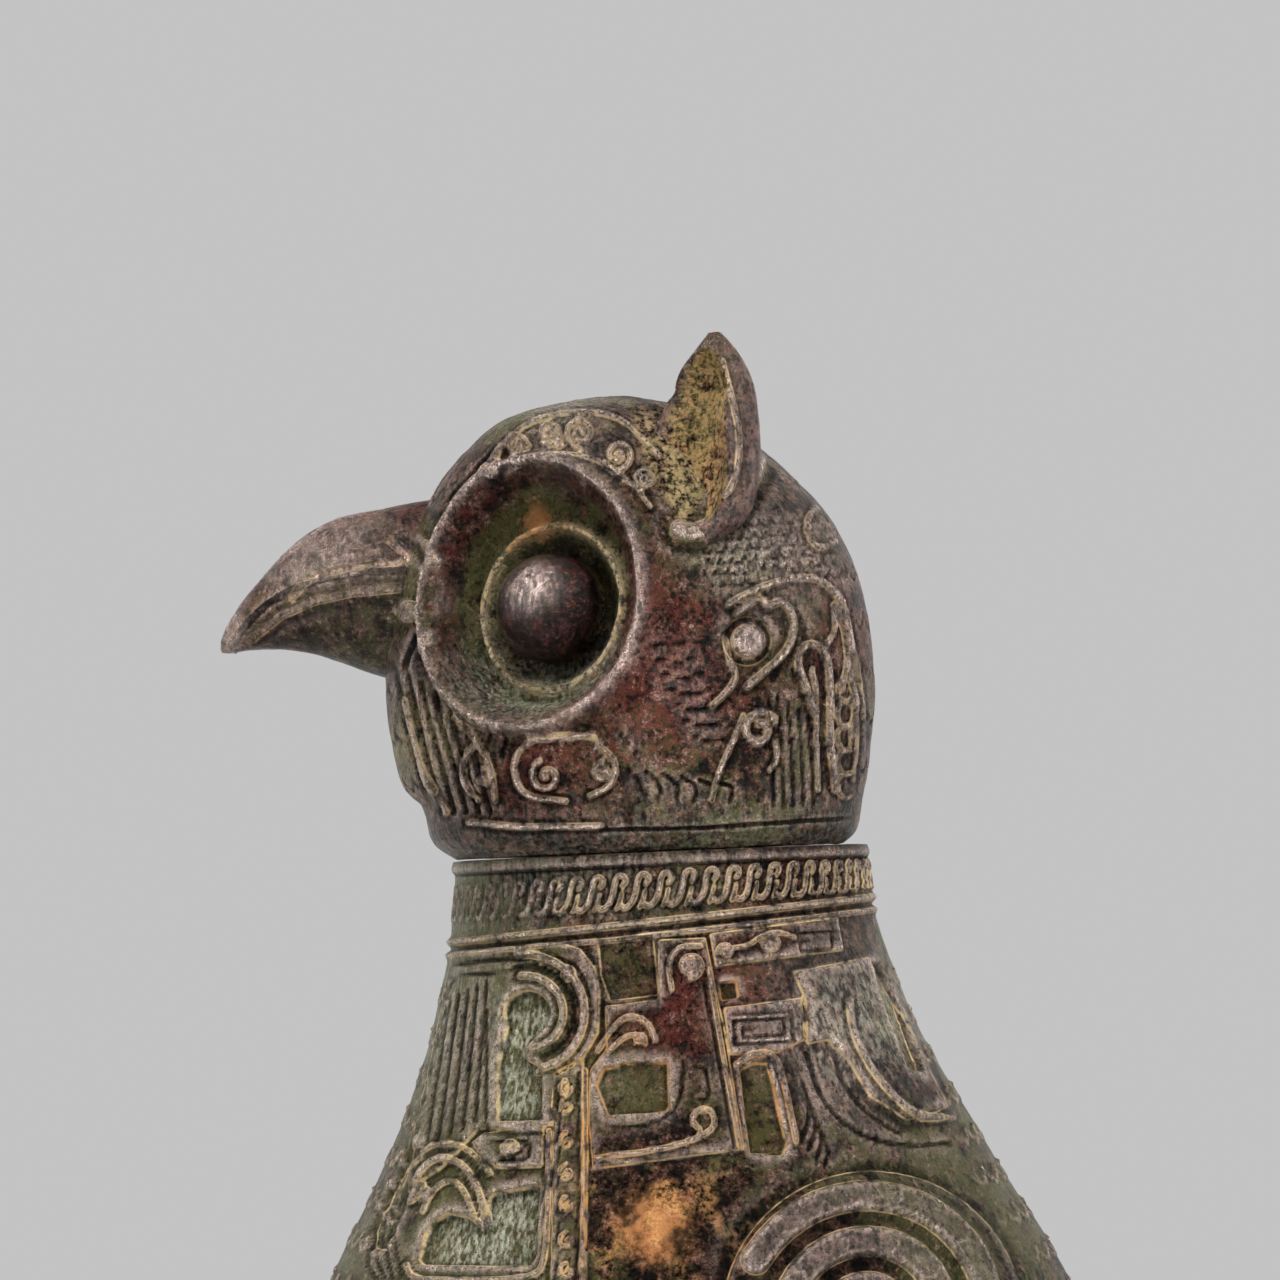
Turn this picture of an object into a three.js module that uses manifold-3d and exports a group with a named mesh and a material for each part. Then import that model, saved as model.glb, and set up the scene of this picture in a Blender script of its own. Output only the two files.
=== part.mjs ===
// Owl-shaped wine vessel: a hollow bronze bird that stands on two feet and its tail,
// with a head that lifts off as the lid. Millimetres, +Z up, the owl faces -Y.
import * as THREE from 'three';
import { mergeVertices } from 'three/addons/utils/BufferGeometryUtils.js';
import Module from 'manifold-3d';

const wasm = await Module();
wasm.setup();

// Fits between pieces
const seam = 0.3;
const lidClearance = 0.5;

// Heights that the rest follows
const bellyHeight = 94;
const shoulderHeight = 184;
const collarHeight = 17;
const collarTop = shoulderHeight + collarHeight;
const up = (rise) => collarTop + rise;

// Neck and collar
const collarRadius = 43.7;
const neckBore = 38.2;
const lipHeight = 2.5;
const bandDepth = 0.9;
const ridgeDrop = 15;
const ridgeRadius = 45.4;
const bandFlare = 1.3;

// Lid flange
const flangeWall = 3;
const flangeDrop = 13.5;

// Walls of the castings
const bodyWall = 3.4;
const headWall = 3;
const legWall = 5;

// Body stations, from the belly floor up: height, front, back and half width
const taper = (share) => bellyHeight + share * (shoulderHeight - bellyHeight);
const bodyStations = [
  { z: 46, front: -30, back: 38, half: 30 },
  { z: 54, front: -53, back: 61, half: 53 },
  { z: 65, front: -68, back: 76, half: 67 },
  { z: 79, front: -76, back: 85, half: 75 },
  { z: bellyHeight, front: -78, back: 86.5, half: 77 },
  { z: taper(0.144), front: -75.5, back: 82.1, half: 75.5 },
  { z: taper(0.267), front: -71, back: 76.8, half: 72.5 },
  { z: taper(0.411), front: -64, back: 69, half: 67 },
  { z: taper(0.567), front: -57.1, back: 61.5, half: 60 },
  { z: taper(0.728), front: -51.2, back: 53.7, half: 53 },
  { z: taper(0.867), front: -47.5, back: 48.7, half: 48 },
  { z: shoulderHeight, front: -45.3, back: 45.6, half: 45.5 },
];
const bodySquareness = 2.1;

// Coiled wing relief on each flank
const wingCoilY = 38;
const wingCoilZ = bellyHeight + 12;
const wingCoilRadius = 27;
const wingRelief = 1.4;

// Head stations above the collar
const headBase = collarTop + seam;
const headStations = [
  { z: headBase, front: -42.4, back: 38.4, half: 40.8 },
  { z: up(2.2), front: -45.4, back: 40.6, half: 43 },
  { z: up(5), front: -47.7, back: 42, half: 44.8 },
  { z: up(11.5), front: -49.2, back: 43.4, half: 46 },
  { z: up(17), front: -53.4, back: 44.6, half: 47 },
  { z: up(32), front: -55.8, back: 46.5, half: 49 },
  { z: up(47), front: -55, back: 45.8, half: 49.5 },
  { z: up(59), front: -52, back: 43, half: 48.5 },
  { z: up(69), front: -48.5, back: 38.3, half: 46 },
  { z: up(78), front: -43.5, back: 30.5, half: 42 },
  { z: up(86), front: -36.5, back: 21.5, half: 36 },
  { z: up(92), front: -28, back: 12, half: 27 },
  { z: up(95.4), front: -14, back: 0, half: 9 },
];
const headSquareness = 2.35;

// Eyes: a low rim round a wide dish, a thin inner ring and a domed pupil.
// Depths are below the plane through the eye's centre, and the ring, its cup and the pupil
// lie a little behind and below that centre.
const eyeCentre = { x: 38, y: -22.5, z: up(53.1) };
const eyeTurn = 34;
const eyeTilt = 8;
const eyeOval = 0.87;
const eyeReach = 30;
const eyeRadius = 31;
const eyeRimHeight = 1.5;
const eyeRimWidth = 3;
const eyeBackDepth = 8;
const dishDepth = 5;
const innerRingRadius = 17.3;
const innerRingWidth = 1.8;
const innerRingDepth = 1.6;
const cupDepth = 5.6;
const cupAlong = 1.8;
const cupDrop = 2.4;
const pupilRadius = 11.2;
const pupilHeight = 14;

// Beak stations, outward from the face: reach, lower and upper edge and half width
const beakTipReach = 90;
const beakStations = [
  { z: 42, front: up(37), back: up(76.2), half: 18 },
  { z: 50, front: up(37.4), back: up(75.4), half: 18 },
  { z: 58, front: up(39.8), back: up(74.2), half: 16.5 },
  { z: 65, front: up(42.6), back: up(72.8), half: 14.5 },
  { z: 72, front: up(45), back: up(69.4), half: 12.5 },
  { z: 78, front: up(46), back: up(64.2), half: 10.5 },
  { z: 84, front: up(46), back: up(57.8), half: 8 },
  { z: 88, front: up(45.6), back: up(52.6), half: 5.5 },
  { z: beakTipReach, front: up(45.8), back: up(48.8), half: 2.5 },
];
const beakSquareness = 2.2;

// Ear stations, from the lower apex up: height, front, back, half width and centre
const earTop = up(105.4);
const earStations = [
  { z: up(61), front: 8.2, back: 13.5, half: 3, x: 42.5 },
  { z: up(67.8), front: 3.8, back: 21.3, half: 7, x: 41.5 },
  { z: up(77.5), front: 1.3, back: 23.8, half: 9, x: 39.5 },
  { z: up(87.2), front: 0.7, back: 24, half: 8.5, x: 37.5 },
  { z: up(94.9), front: 5.3, back: 23.2, half: 6.5, x: 36.5 },
  { z: up(100.8), front: 10.6, back: 20.6, half: 4.5, x: 36 },
  { z: earTop, front: 14.5, back: 17, half: 1.2, x: 36 },
];
const earCup = { x: 47.5, y: 4.3, z: up(83.3), wide: 11.5, tall: 17.5 };

// Legs and feet
const legX = 34;
const legStations = [
  { z: 0, front: -42, back: -4, half: 17 },
  { z: 9, front: -38, back: -7, half: 15 },
  { z: 22, front: -35, back: -9, half: 13 },
  { z: 40, front: -37, back: -8, half: 15 },
  { z: 58, front: -42, back: -4, half: 19 },
  { z: 74, front: -44, back: 0, half: 21 },
];
const legAxisY = -22;
const legBoreRadius = 13 - legWall;
const soleThickness = 8;
const toeSpread = 11;
const toeLength = 15;
const toeWidth = 6;
const toeHeight = 8;
const toeY = -42;
const heelToeY = 0;
const heelToeLength = 10;

// Tail stations, from the ground up
const tailHeel = 103;
const tailStations = [
  { z: 0, front: 85, back: tailHeel, half: 30 },
  { z: 20, front: 84, back: 101.5, half: 29.5 },
  { z: 42, front: 77, back: 99, half: 28 },
  { z: 62, front: 66, back: 96, half: 26 },
  { z: 82, front: 62, back: 93, half: 23.5 },
  { z: 98, front: 64, back: 88.5, half: 20 },
];
const tailSquareness = 3.2;

// A curve through four values, at a share of the way from the second to the third
function blend(a, b, c, d, t) {
  return b + 0.5 * t * (c - a + t * (2 * a - 5 * b + 4 * c - d + t * (3 * (b - c) + d - a)));
}

// One station's sizes at any place along the list
function stationAt(stations, place) {
  const last = stations.length - 1;
  const i = Math.min(Math.floor(place), last - 1);
  const near = [i - 1, i, i + 1, i + 2].map((n) => stations[Math.max(0, Math.min(last, n))]);
  const value = (key) => blend(...near.map((s) => s[key] ?? 0), place - i);
  return { z: value('z'), front: value('front'), back: value('back'),
    half: value('half'), x: value('x') };
}

// A closed skin through rounded sections; grow moves it out, or in where it is negative
function loft(stations, { grow = 0, power = 2, around = 40, steps = 2, side = 1, relief } = {}) {
  const low = stations[0].z;
  const tall = stations[stations.length - 1].z - low;
  const stretch = (tall + 2 * grow) / tall;
  const points = [];
  const rings = (stations.length - 1) * steps + 1;
  for (let i = 0; i < rings; i++) {
    const s = stationAt(stations, i / steps);
    const z = low - grow + (s.z - low) * stretch;
    const middle = (s.front + s.back) / 2;
    const deep = (s.back - s.front) / 2 + grow;
    const wide = s.half + grow;
    for (let k = 0; k < around; k++) {
      const angle = (2 * Math.PI * k) / around;
      const c = Math.cos(angle);
      const n = Math.sin(angle);
      const cx = Math.sign(c) * Math.abs(c) ** (2 / power);
      const cy = Math.sign(n) * Math.abs(n) ** (2 / power);
      const lift = relief ? relief(wide * cx, middle + deep * cy, z) : 0;
      points.push(side * s.x + (wide + lift) * cx, middle + (deep + lift) * cy, z);
    }
  }
  const index = [];
  for (let i = 0; i < rings - 1; i++) {
    for (let k = 0; k < around; k++) {
      const a = i * around + k;
      const b = i * around + ((k + 1) % around);
      index.push(a, b, b + around, a, b + around, a + around);
    }
  }
  for (const [ring, flip] of [[0, true], [rings - 1, false]]) {
    const centre = points.length / 3;
    const s = stationAt(stations, ring / steps);
    points.push(side * s.x, (s.front + s.back) / 2, low - grow + (s.z - low) * stretch);
    for (let k = 0; k < around; k++) {
      const a = ring * around + k;
      const b = ring * around + ((k + 1) % around);
      index.push(centre, flip ? b : a, flip ? a : b);
    }
  }
  const geometry = new THREE.BufferGeometry();
  geometry.setAttribute('position', new THREE.Float32BufferAttribute(points, 3));
  geometry.setIndex(index);
  return geometry;
}

// A round form about +Z from a profile of radius and height
function turned(profile, segments = 32) {
  const points = profile.map(([r, h]) => new THREE.Vector2(r, h));
  return new THREE.LatheGeometry(points, segments).rotateX(Math.PI / 2);
}

// A manifold solid of a geometry, facing out, without its zero-area faces
function solid(geometry) {
  geometry.deleteAttribute('normal');
  geometry.deleteAttribute('uv');
  const merged = mergeVertices(geometry, 1e-3);
  const corners = [...merged.index.array];
  const faces = [];
  for (let i = 0; i < corners.length; i += 3) {
    const [a, b, c] = corners.slice(i, i + 3);
    if (a !== b && b !== c && c !== a) faces.push(a, b, c);
  }
  const make = (triangles) => new wasm.Manifold(new wasm.Mesh({
    numProp: 3,
    vertProperties: new Float32Array(merged.attributes.position.array),
    triVerts: new Uint32Array(triangles),
  }));
  const made = make(faces);
  return made.volume() > 0 ? made : make(faces.reverse());
}

// The geometry of a manifold solid
function shape(manifold) {
  const mesh = manifold.getMesh();
  const geometry = new THREE.BufferGeometry();
  const places = new Float32Array(mesh.vertProperties);
  geometry.setAttribute('position', new THREE.BufferAttribute(places, 3));
  geometry.setIndex([...mesh.triVerts]);
  return geometry;
}

// The eye's own frame: +X along the face, narrowed by the share given, and +Z out of the
// eye, on the left (side 1) or the right (side -1)
function eyeFrame(side, narrow = 1) {
  const turn = THREE.MathUtils.degToRad(eyeTurn);
  const tilt = THREE.MathUtils.degToRad(eyeTilt);
  const along = new THREE.Vector3(side * Math.sin(turn), Math.cos(turn), 0);
  const out = new THREE.Vector3(side * Math.cos(turn) * Math.cos(tilt),
    -Math.sin(turn) * Math.cos(tilt), Math.sin(tilt));
  const up = new THREE.Vector3().crossVectors(out, along);
  return new THREE.Matrix4().makeBasis(along.multiplyScalar(narrow), up, out)
    .setPosition(side * eyeCentre.x, eyeCentre.y, eyeCentre.z);
}

// The same frame at the middle of the ring, the cup and the pupil
function cupFrame(side) {
  const shift = new THREE.Matrix4().makeTranslation(cupAlong, -side * cupDrop, 0);
  return eyeFrame(side).multiply(shift);
}

// The round of the face that holds the eye, raised by the height of its rim
function eyeBoss(side, grow = 0) {
  const r = eyeRadius + grow;
  const round = solid(turned([
    [0, -eyeBackDepth], [r, -eyeBackDepth], [r, eyeReach], [0, eyeReach],
  ]).applyMatrix4(eyeFrame(side, eyeOval)));
  return round.intersect(solid(loft(headStations,
    { grow: grow + eyeRimHeight, power: headSquareness, around: 40 })));
}

// What is hollowed out of that round: the oval dish in front of the round ring and its cup
function eyeDish(side) {
  const inner = innerRingRadius - innerRingWidth / 2;
  const outer = innerRingRadius + innerRingWidth / 2;
  const edge = eyeRadius - eyeRimWidth;
  const dish = solid(turned([
    [0, -dishDepth], [edge - 3, -dishDepth], [edge, 1 - dishDepth], [edge, eyeReach], [0, eyeReach],
  ]).applyMatrix4(eyeFrame(side, eyeOval)));
  const ring = solid(turned([
    [0, -eyeBackDepth], [outer, -eyeBackDepth], [outer, -innerRingDepth], [0, -innerRingDepth],
  ]).applyMatrix4(cupFrame(side)));
  const cup = solid(turned([
    [0, -cupDepth], [inner, -cupDepth], [inner, eyeReach], [0, eyeReach],
  ]).applyMatrix4(cupFrame(side)));
  return dish.subtract(ring).add(cup);
}

function pupil(side) {
  const floor = seam - cupDepth;
  const profile = [[0, floor], [pupilRadius, floor]];
  for (let i = 0; i <= 6; i++) {
    const angle = (Math.PI / 2) * (i / 6);
    const rise = 1.2 + (pupilHeight - 1.2) * Math.sin(angle);
    profile.push([pupilRadius * Math.cos(angle), floor + rise]);
  }
  profile[profile.length - 1][0] = 0;
  return solid(turned(profile, 32).applyMatrix4(cupFrame(side)));
}

// The head without its hollow: what the beak and ears are fitted to
function headBlank(grow) {
  return solid(loft(headStations, { grow, power: headSquareness, around: 40 }))
    .add(eyeBoss(1, grow)).add(eyeBoss(-1, grow));
}

function head() {
  const mouth = neckBore - lidClearance - flangeWall;
  const hollow = solid(loft(headStations, { grow: -headWall, power: headSquareness, around: 28, steps: 1 }))
    .subtract(eyeBoss(1)).subtract(eyeBoss(-1))
    .add(solid(turned([[0, headBase - 2], [mouth, headBase - 2],
      [mouth, headBase + headWall + 2], [0, headBase + headWall + 2]])));
  return headBlank(0).subtract(hollow).subtract(eyeDish(1)).subtract(eyeDish(-1));
}

function flange() {
  const outer = neckBore - lidClearance;
  const inner = outer - flangeWall;
  const low = collarTop - flangeDrop;
  return solid(turned([
    [inner, low], [outer - 0.6, low], [outer, low + 1.5],
    [outer, headBase - seam], [inner, headBase - seam], [inner, low],
  ]));
}

function beak(face) {
  const form = loft(beakStations, { power: beakSquareness, around: 24 }).rotateX(Math.PI / 2);
  return solid(form).subtract(face);
}

function ear(side, face) {
  const form = solid(loft(earStations, { around: 24, side }));
  const cup = new THREE.SphereGeometry(1, 16, 12)
    .scale(earCup.wide, earCup.wide, earCup.tall)
    .translate(side * earCup.x, earCup.y, earCup.z);
  return form.subtract(solid(cup)).subtract(face);
}

// Raised coil on the flank, highest on its round edge
function wingLift(x, y, z) {
  if (Math.abs(x) < 20) return 0;
  const far = Math.hypot(y - wingCoilY, z - wingCoilZ);
  return wingRelief * THREE.MathUtils.clamp((wingCoilRadius + 4 - far) / 6, 0, 1);
}

function bodyBlank(grow) {
  return solid(loft(bodyStations,
    { grow, power: bodySquareness, around: 44, relief: wingLift }));
}

function collar() {
  const ridge = collarTop - ridgeDrop;
  const band = collarRadius - bandDepth;
  return solid(turned([
    [0, ridge - 6], [neckBore + 4, ridge - 6], [ridgeRadius, ridge - 1],
    [ridgeRadius, ridge + 1], [band + bandFlare, ridge + 2.2],
    [band, collarTop - lipHeight - 0.6], [collarRadius, collarTop - lipHeight],
    [collarRadius, collarTop - 1], [collarRadius - 1, collarTop], [0, collarTop],
  ], 48));
}

function body() {
  const chamber = solid(loft(bodyStations, { grow: -bodyWall, power: bodySquareness, around: 32, steps: 1 }));
  const bore = solid(turned([
    [0, shoulderHeight - 16], [neckBore, shoulderHeight - 16],
    [neckBore, collarTop + 5], [0, collarTop + 5],
  ]));
  return bodyBlank(0).add(collar()).subtract(chamber).subtract(bore);
}

// A rounded toe that lies along Y
function toe(x, y, long) {
  return solid(new THREE.SphereGeometry(1, 12, 8)
    .scale(toeWidth, long, toeHeight).translate(x, y, 3));
}

function legColumn(side, radius, low) {
  const profile = [[0, low], [radius, low], [radius, shoulderHeight / 2], [0, shoulderHeight / 2]];
  return solid(turned(profile, 20).translate(side * legX, legAxisY, 0));
}

function leg(side, belly) {
  const stations = legStations.map((s) => ({ ...s, x: legX }));
  const ground = new THREE.BoxGeometry(120, 200, 60).translate(side * legX, 0, -30);
  return solid(loft(stations, { around: 24, side }))
    .add(toe(side * legX, toeY, toeLength))
    .add(toe(side * legX - toeSpread, toeY + 3, toeLength))
    .add(toe(side * legX + toeSpread, toeY + 3, toeLength))
    .add(toe(side * legX, heelToeY, heelToeLength))
    .subtract(solid(ground))
    .subtract(legColumn(side, legBoreRadius, soleThickness))
    .subtract(belly);
}

function legCore(side, belly) {
  return legColumn(side, legBoreRadius - seam, soleThickness + seam).subtract(belly);
}

function tail(belly) {
  return solid(loft(tailStations, { power: tailSquareness, around: 32 })).subtract(belly);
}

const owl = new THREE.Group();

function piece(name, manifold, color, roughness, metalness = 0.75) {
  const material = new THREE.MeshStandardMaterial({ color, roughness, metalness });
  material.name = name;
  const mesh = new THREE.Mesh(shape(manifold), material);
  mesh.name = name;
  owl.add(mesh);
}

const face = headBlank(seam);
const belly = bodyBlank(seam);

piece('vessel_body', body(), 0x4f4a3c, 0.55);
piece('head_lid', head(), 0x40322d, 0.45);
piece('lid_flange', flange(), 0x4b4436, 0.6);
piece('beak', beak(face), 0x5b2f28, 0.45);
for (const [name, side] of [['left', 1], ['right', -1]]) {
  piece(`${name}_ear`, ear(side, face), 0x3d2f2e, 0.45);
  piece(`${name}_eye`, pupil(side), 0x3a2329, 0.3);
  piece(`${name}_leg`, leg(side, belly), 0x4c4538, 0.6);
  piece(`${name}_leg_core`, legCore(side, belly), 0x9a7a55, 0.95, 0);
}
piece('tail', tail(belly), 0x4a4336, 0.6);

// The owl stands on z = 0 with its outline centred about the origin
const box = new THREE.Box3().setFromObject(owl);
const middle = box.getCenter(new THREE.Vector3());
owl.position.set(-middle.x, -middle.y, -box.min.z);

const group = new THREE.Group();
group.add(owl);

export default group;
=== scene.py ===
"""Looks of the owl-shaped bronze wine vessel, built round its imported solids."""
import math

import bpy
import numpy as np
from mathutils import Matrix, Vector


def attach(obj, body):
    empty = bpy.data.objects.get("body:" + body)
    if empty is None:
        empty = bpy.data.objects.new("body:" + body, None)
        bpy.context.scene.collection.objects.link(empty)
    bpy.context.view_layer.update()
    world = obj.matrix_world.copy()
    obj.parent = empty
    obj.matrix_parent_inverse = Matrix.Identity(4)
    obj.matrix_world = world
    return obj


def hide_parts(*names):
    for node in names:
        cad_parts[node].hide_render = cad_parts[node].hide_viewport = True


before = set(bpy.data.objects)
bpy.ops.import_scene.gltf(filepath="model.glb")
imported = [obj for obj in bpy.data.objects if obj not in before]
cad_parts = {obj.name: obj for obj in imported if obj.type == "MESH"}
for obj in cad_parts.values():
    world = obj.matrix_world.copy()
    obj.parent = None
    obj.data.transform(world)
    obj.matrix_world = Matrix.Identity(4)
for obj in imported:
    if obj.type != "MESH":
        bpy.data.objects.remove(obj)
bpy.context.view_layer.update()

MM = 0.001
NECK_Y = -6.5                  # neck axis in the row frame, millimetres
RIM_TOP = 201.0                # top of the collar
GROUND = 0.0

# The photograph's scale, level, edge and the collar's middle in its pixels
PX = 0.21
LEVEL = math.radians(2.5)
RIM_X, RIM_Y = 660.0, 852.0
EDGE = 1280

# The camera: its distance from the neck axis, its place along the owl and its height
AWAY, CAMERA_Y, CAMERA_Z = 1250.0, -2.2, 195.0
AIM_Z = 245.7                  # height of the picture's middle

FINE = 1.0


def count(n):
    return max(24, int(n * FINE) // 2 * 2)


def at(*pixels):
    """Places of the photograph, as Y and Z from the neck axis in the plane through it."""
    xy = np.array(pixels, float).reshape(-1, 2)
    dx, dy = xy[:, 0] - RIM_X, RIM_Y - xy[:, 1]
    y = (dx * math.cos(LEVEL) + dy * math.sin(LEVEL)) * PX
    z = (-dx * math.sin(LEVEL) + dy * math.cos(LEVEL)) * PX + RIM_TOP
    return np.stack([y, z], 1)


def as_seen(points):
    """Where the camera sees points of a flank, in that same plane."""
    nearer = AWAY / (AWAY - np.abs(points[..., 0]))
    return (CAMERA_Y + (points[..., 1] - CAMERA_Y) * nearer,
            CAMERA_Z + (points[..., 2] - CAMERA_Z) * nearer)


# Sections of the castings

BODY = [  # height, front, back, half width, squareness
    (46, -30, 38, 30, 2.1), (54, -53, 61, 53, 2.1), (65, -68, 76, 67, 2.1),
    (79, -76, 85, 75, 2.1), (94, -78, 86.5, 77, 2.1), (107, -75.5, 82.1, 75.5, 2.1),
    (118, -71, 76.8, 72.5, 2.1), (131, -64, 69, 67, 2.1), (145, -57.1, 61.5, 60, 2.1),
    (159.5, -51.2, 53.7, 53, 2.1), (172, -47.5, 48.7, 48, 2.1), (184, -44.6, 45.0, 44.8, 2.05),
    (189, -44.0, 44.2, 44.0, 2.0), (195, -43.3, 43.4, 43.3, 2.0), (200.8, -43.0, 43.1, 43.0, 2.0),
]
HEAD = [
    (201.3, -42.4, 38.4, 40.8, 2.35), (203.2, -45.4, 40.6, 43, 2.35),
    (206, -47.7, 42, 44.8, 2.35), (212.5, -49.2, 43.4, 46, 2.35), (218, -53.4, 44.6, 47, 2.35),
    (233, -55.8, 46.5, 49, 2.35), (248, -55, 45.8, 49.5, 2.35), (260, -52, 43, 48.5, 2.35),
    (270, -48.5, 38.3, 46, 2.35), (279, -43.5, 30.5, 42, 2.35), (287, -36.5, 21.5, 36, 2.35),
    (293, -28, 12, 27, 2.35), (296.4, -14, 0, 9, 2.35),
]
BEAK = [  # reach, lower edge, upper edge, half width, squareness
    (42, 238, 277.2, 18, 2.2), (50, 238.4, 276.4, 18, 2.2), (58, 240.8, 275.2, 16.5, 2.2),
    (65, 243.6, 273.8, 14.5, 2.2), (72, 246, 270.4, 12.5, 2.2), (78, 247, 265.2, 10.5, 2.2),
    (84, 247, 258.8, 8, 2.2), (88, 246.6, 253.6, 5.5, 2.2), (90, 246.8, 249.8, 2.5, 2.2),
]
EAR = [  # height, front, back, half width, squareness, centre
    (262, 8.2, 13.5, 3, 2, 42.5), (268.8, 3.8, 21.3, 7, 2, 41.5), (278.5, 1.3, 23.8, 9, 2, 39.5),
    (288.2, 0.7, 24, 8.5, 2, 37.5), (295.9, 5.3, 23.2, 6.5, 2, 36.5),
    (301.8, 10.6, 20.6, 4.5, 2, 36), (306.4, 14.5, 17, 1.2, 2, 36),
]
TAIL = [
    (0, 85, 103, 30, 3.2), (20, 84, 101.5, 29.5, 3.2), (42, 77, 99, 28, 3.2),
    (62, 66, 96, 26, 3.2), (82, 62, 93, 23.5, 3.2), (98, 64, 88.5, 20, 3.2),
]
LEG = [
    (0, -42, -4, 17, 2, 34), (9, -38, -7, 15, 2, 34), (22, -35, -9, 13, 2, 34),
    (40, -37, -8, 15, 2, 34), (58, -42, -4, 19, 2, 34), (74, -44, 0, 21, 2, 34),
]


def sections(stations, places):
    """Interpolated rows of a station list; a place counts stations from the first."""
    s = np.array(stations, float)
    places = np.asarray(places, float)
    i = np.minimum(np.floor(places).astype(int), len(s) - 2)
    t = (places - i)[:, None]
    a, b, c, d = (s[np.clip(i + k, 0, len(s) - 1)] for k in (-1, 0, 1, 2))
    return b + 0.5 * t * (c - a + t * (2 * a - 5 * b + 4 * c - d + t * (3 * (b - c) + d - a)))


def angles(count, crowd=0.0):
    """Angles round a section; crowd packs them towards the two flanks."""
    t = np.arange(count) * 2 * math.pi / count
    return t - crowd * np.sin(2 * t) / 2


def ring_grid(rows, theta, grow=0.0):
    """Points of section rows (height, front, back, half, squareness) round the angles."""
    z, front, back, half, power = (rows[:, k][:, None] for k in range(5))
    c, s = np.cos(theta)[None], np.sin(theta)[None]
    x = (half + grow) * np.sign(c) * np.abs(c) ** (2 / power)
    y = (front + back) / 2 + ((back - front) / 2 + grow) * np.sign(s) * np.abs(s) ** (2 / power)
    if rows.shape[1] > 5:
        x = x + rows[:, 5][:, None]
    return np.stack([x, y, np.broadcast_to(z, x.shape)], 2)


def grid_normals(grid):
    """Outward unit normals of a grid of rings."""
    du = np.roll(grid, -1, 1) - np.roll(grid, 1, 1)
    dv = np.gradient(grid, axis=0)
    n = np.cross(du, dv)
    return n / np.maximum(np.linalg.norm(n, axis=2, keepdims=True), 1e-9)


def mesh_of(name, grid, layers=None, smooth=True, flip=False):
    """A closed mesh of a grid of rings, its ends closed on their middles, in the row frame."""
    rings, around = grid.shape[:2]
    flat = grid.reshape(-1, 3)
    ends = np.stack([grid[0].mean(0), grid[-1].mean(0)])
    verts = np.vstack([flat, ends]) + np.array([0, NECK_Y, 0])
    i, k = np.meshgrid(np.arange(rings - 1), np.arange(around), indexing="ij")
    a = i * around + k
    b = i * around + (k + 1) % around
    quads = np.stack([a, b, b + around, a + around], 2).reshape(-1, 4)
    k = np.arange(around)
    low = np.stack([np.full(around, rings * around), (k + 1) % around, k], 1)
    top = (rings - 1) * around
    high = np.stack([np.full(around, rings * around + 1), top + k, top + (k + 1) % around], 1)
    if flip:
        quads, low, high = quads[:, ::-1], low[:, ::-1], high[:, ::-1]
    corners = np.concatenate([quads.ravel(), low.ravel(), high.ravel()])
    counts = np.concatenate([np.full(len(quads), 4), np.full(2 * around, 3)])
    me = bpy.data.meshes.new(name)
    me.vertices.add(len(verts))
    me.vertices.foreach_set("co", (verts * MM).astype(np.float32).ravel())
    me.loops.add(len(corners))
    me.loops.foreach_set("vertex_index", corners.astype(np.int32))
    me.polygons.add(len(counts))
    starts = np.concatenate([[0], np.cumsum(counts)[:-1]])
    me.polygons.foreach_set("loop_start", starts.astype(np.int32))
    me.polygons.foreach_set("loop_total", counts.astype(np.int32))
    me.update(calc_edges=True)
    me.validate()
    me.polygons.foreach_set("use_smooth", np.full(len(counts), smooth))
    for key, values in (layers or {}).items():
        full = np.concatenate([values.ravel(), [values[0].mean(), values[-1].mean()]])
        me.attributes.new(key, "FLOAT", "POINT").data.foreach_set("value", full.astype(np.float32))
    ob = bpy.data.objects.new(name, me)
    bpy.context.scene.collection.objects.link(ob)
    return ob


# Relief

# layers that fade out: heights, earth, painted shade, and where the key ground stays off
SOFT_LAYERS = ("h", "earth", "dark", "plain")
LINES = ("thread", "cut", "brim", "pit")
# tints: rubbed metal with painted highlight, rust, red, a silvery tone with painted sheen, green, and the
# key ground
TINTS = ("worn", "rust", "red", "grey", "green", "ground")
FAR = 1.5                      # the outline layers reach this far from an outline
FAINT = 0.25                   # share of a stroke's cream that is spread beside its outline


def smoothstep(low, high, v):
    t = np.clip((v - low) / (high - low), 0, 1)
    return t * t * (3 - 2 * t)


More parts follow.
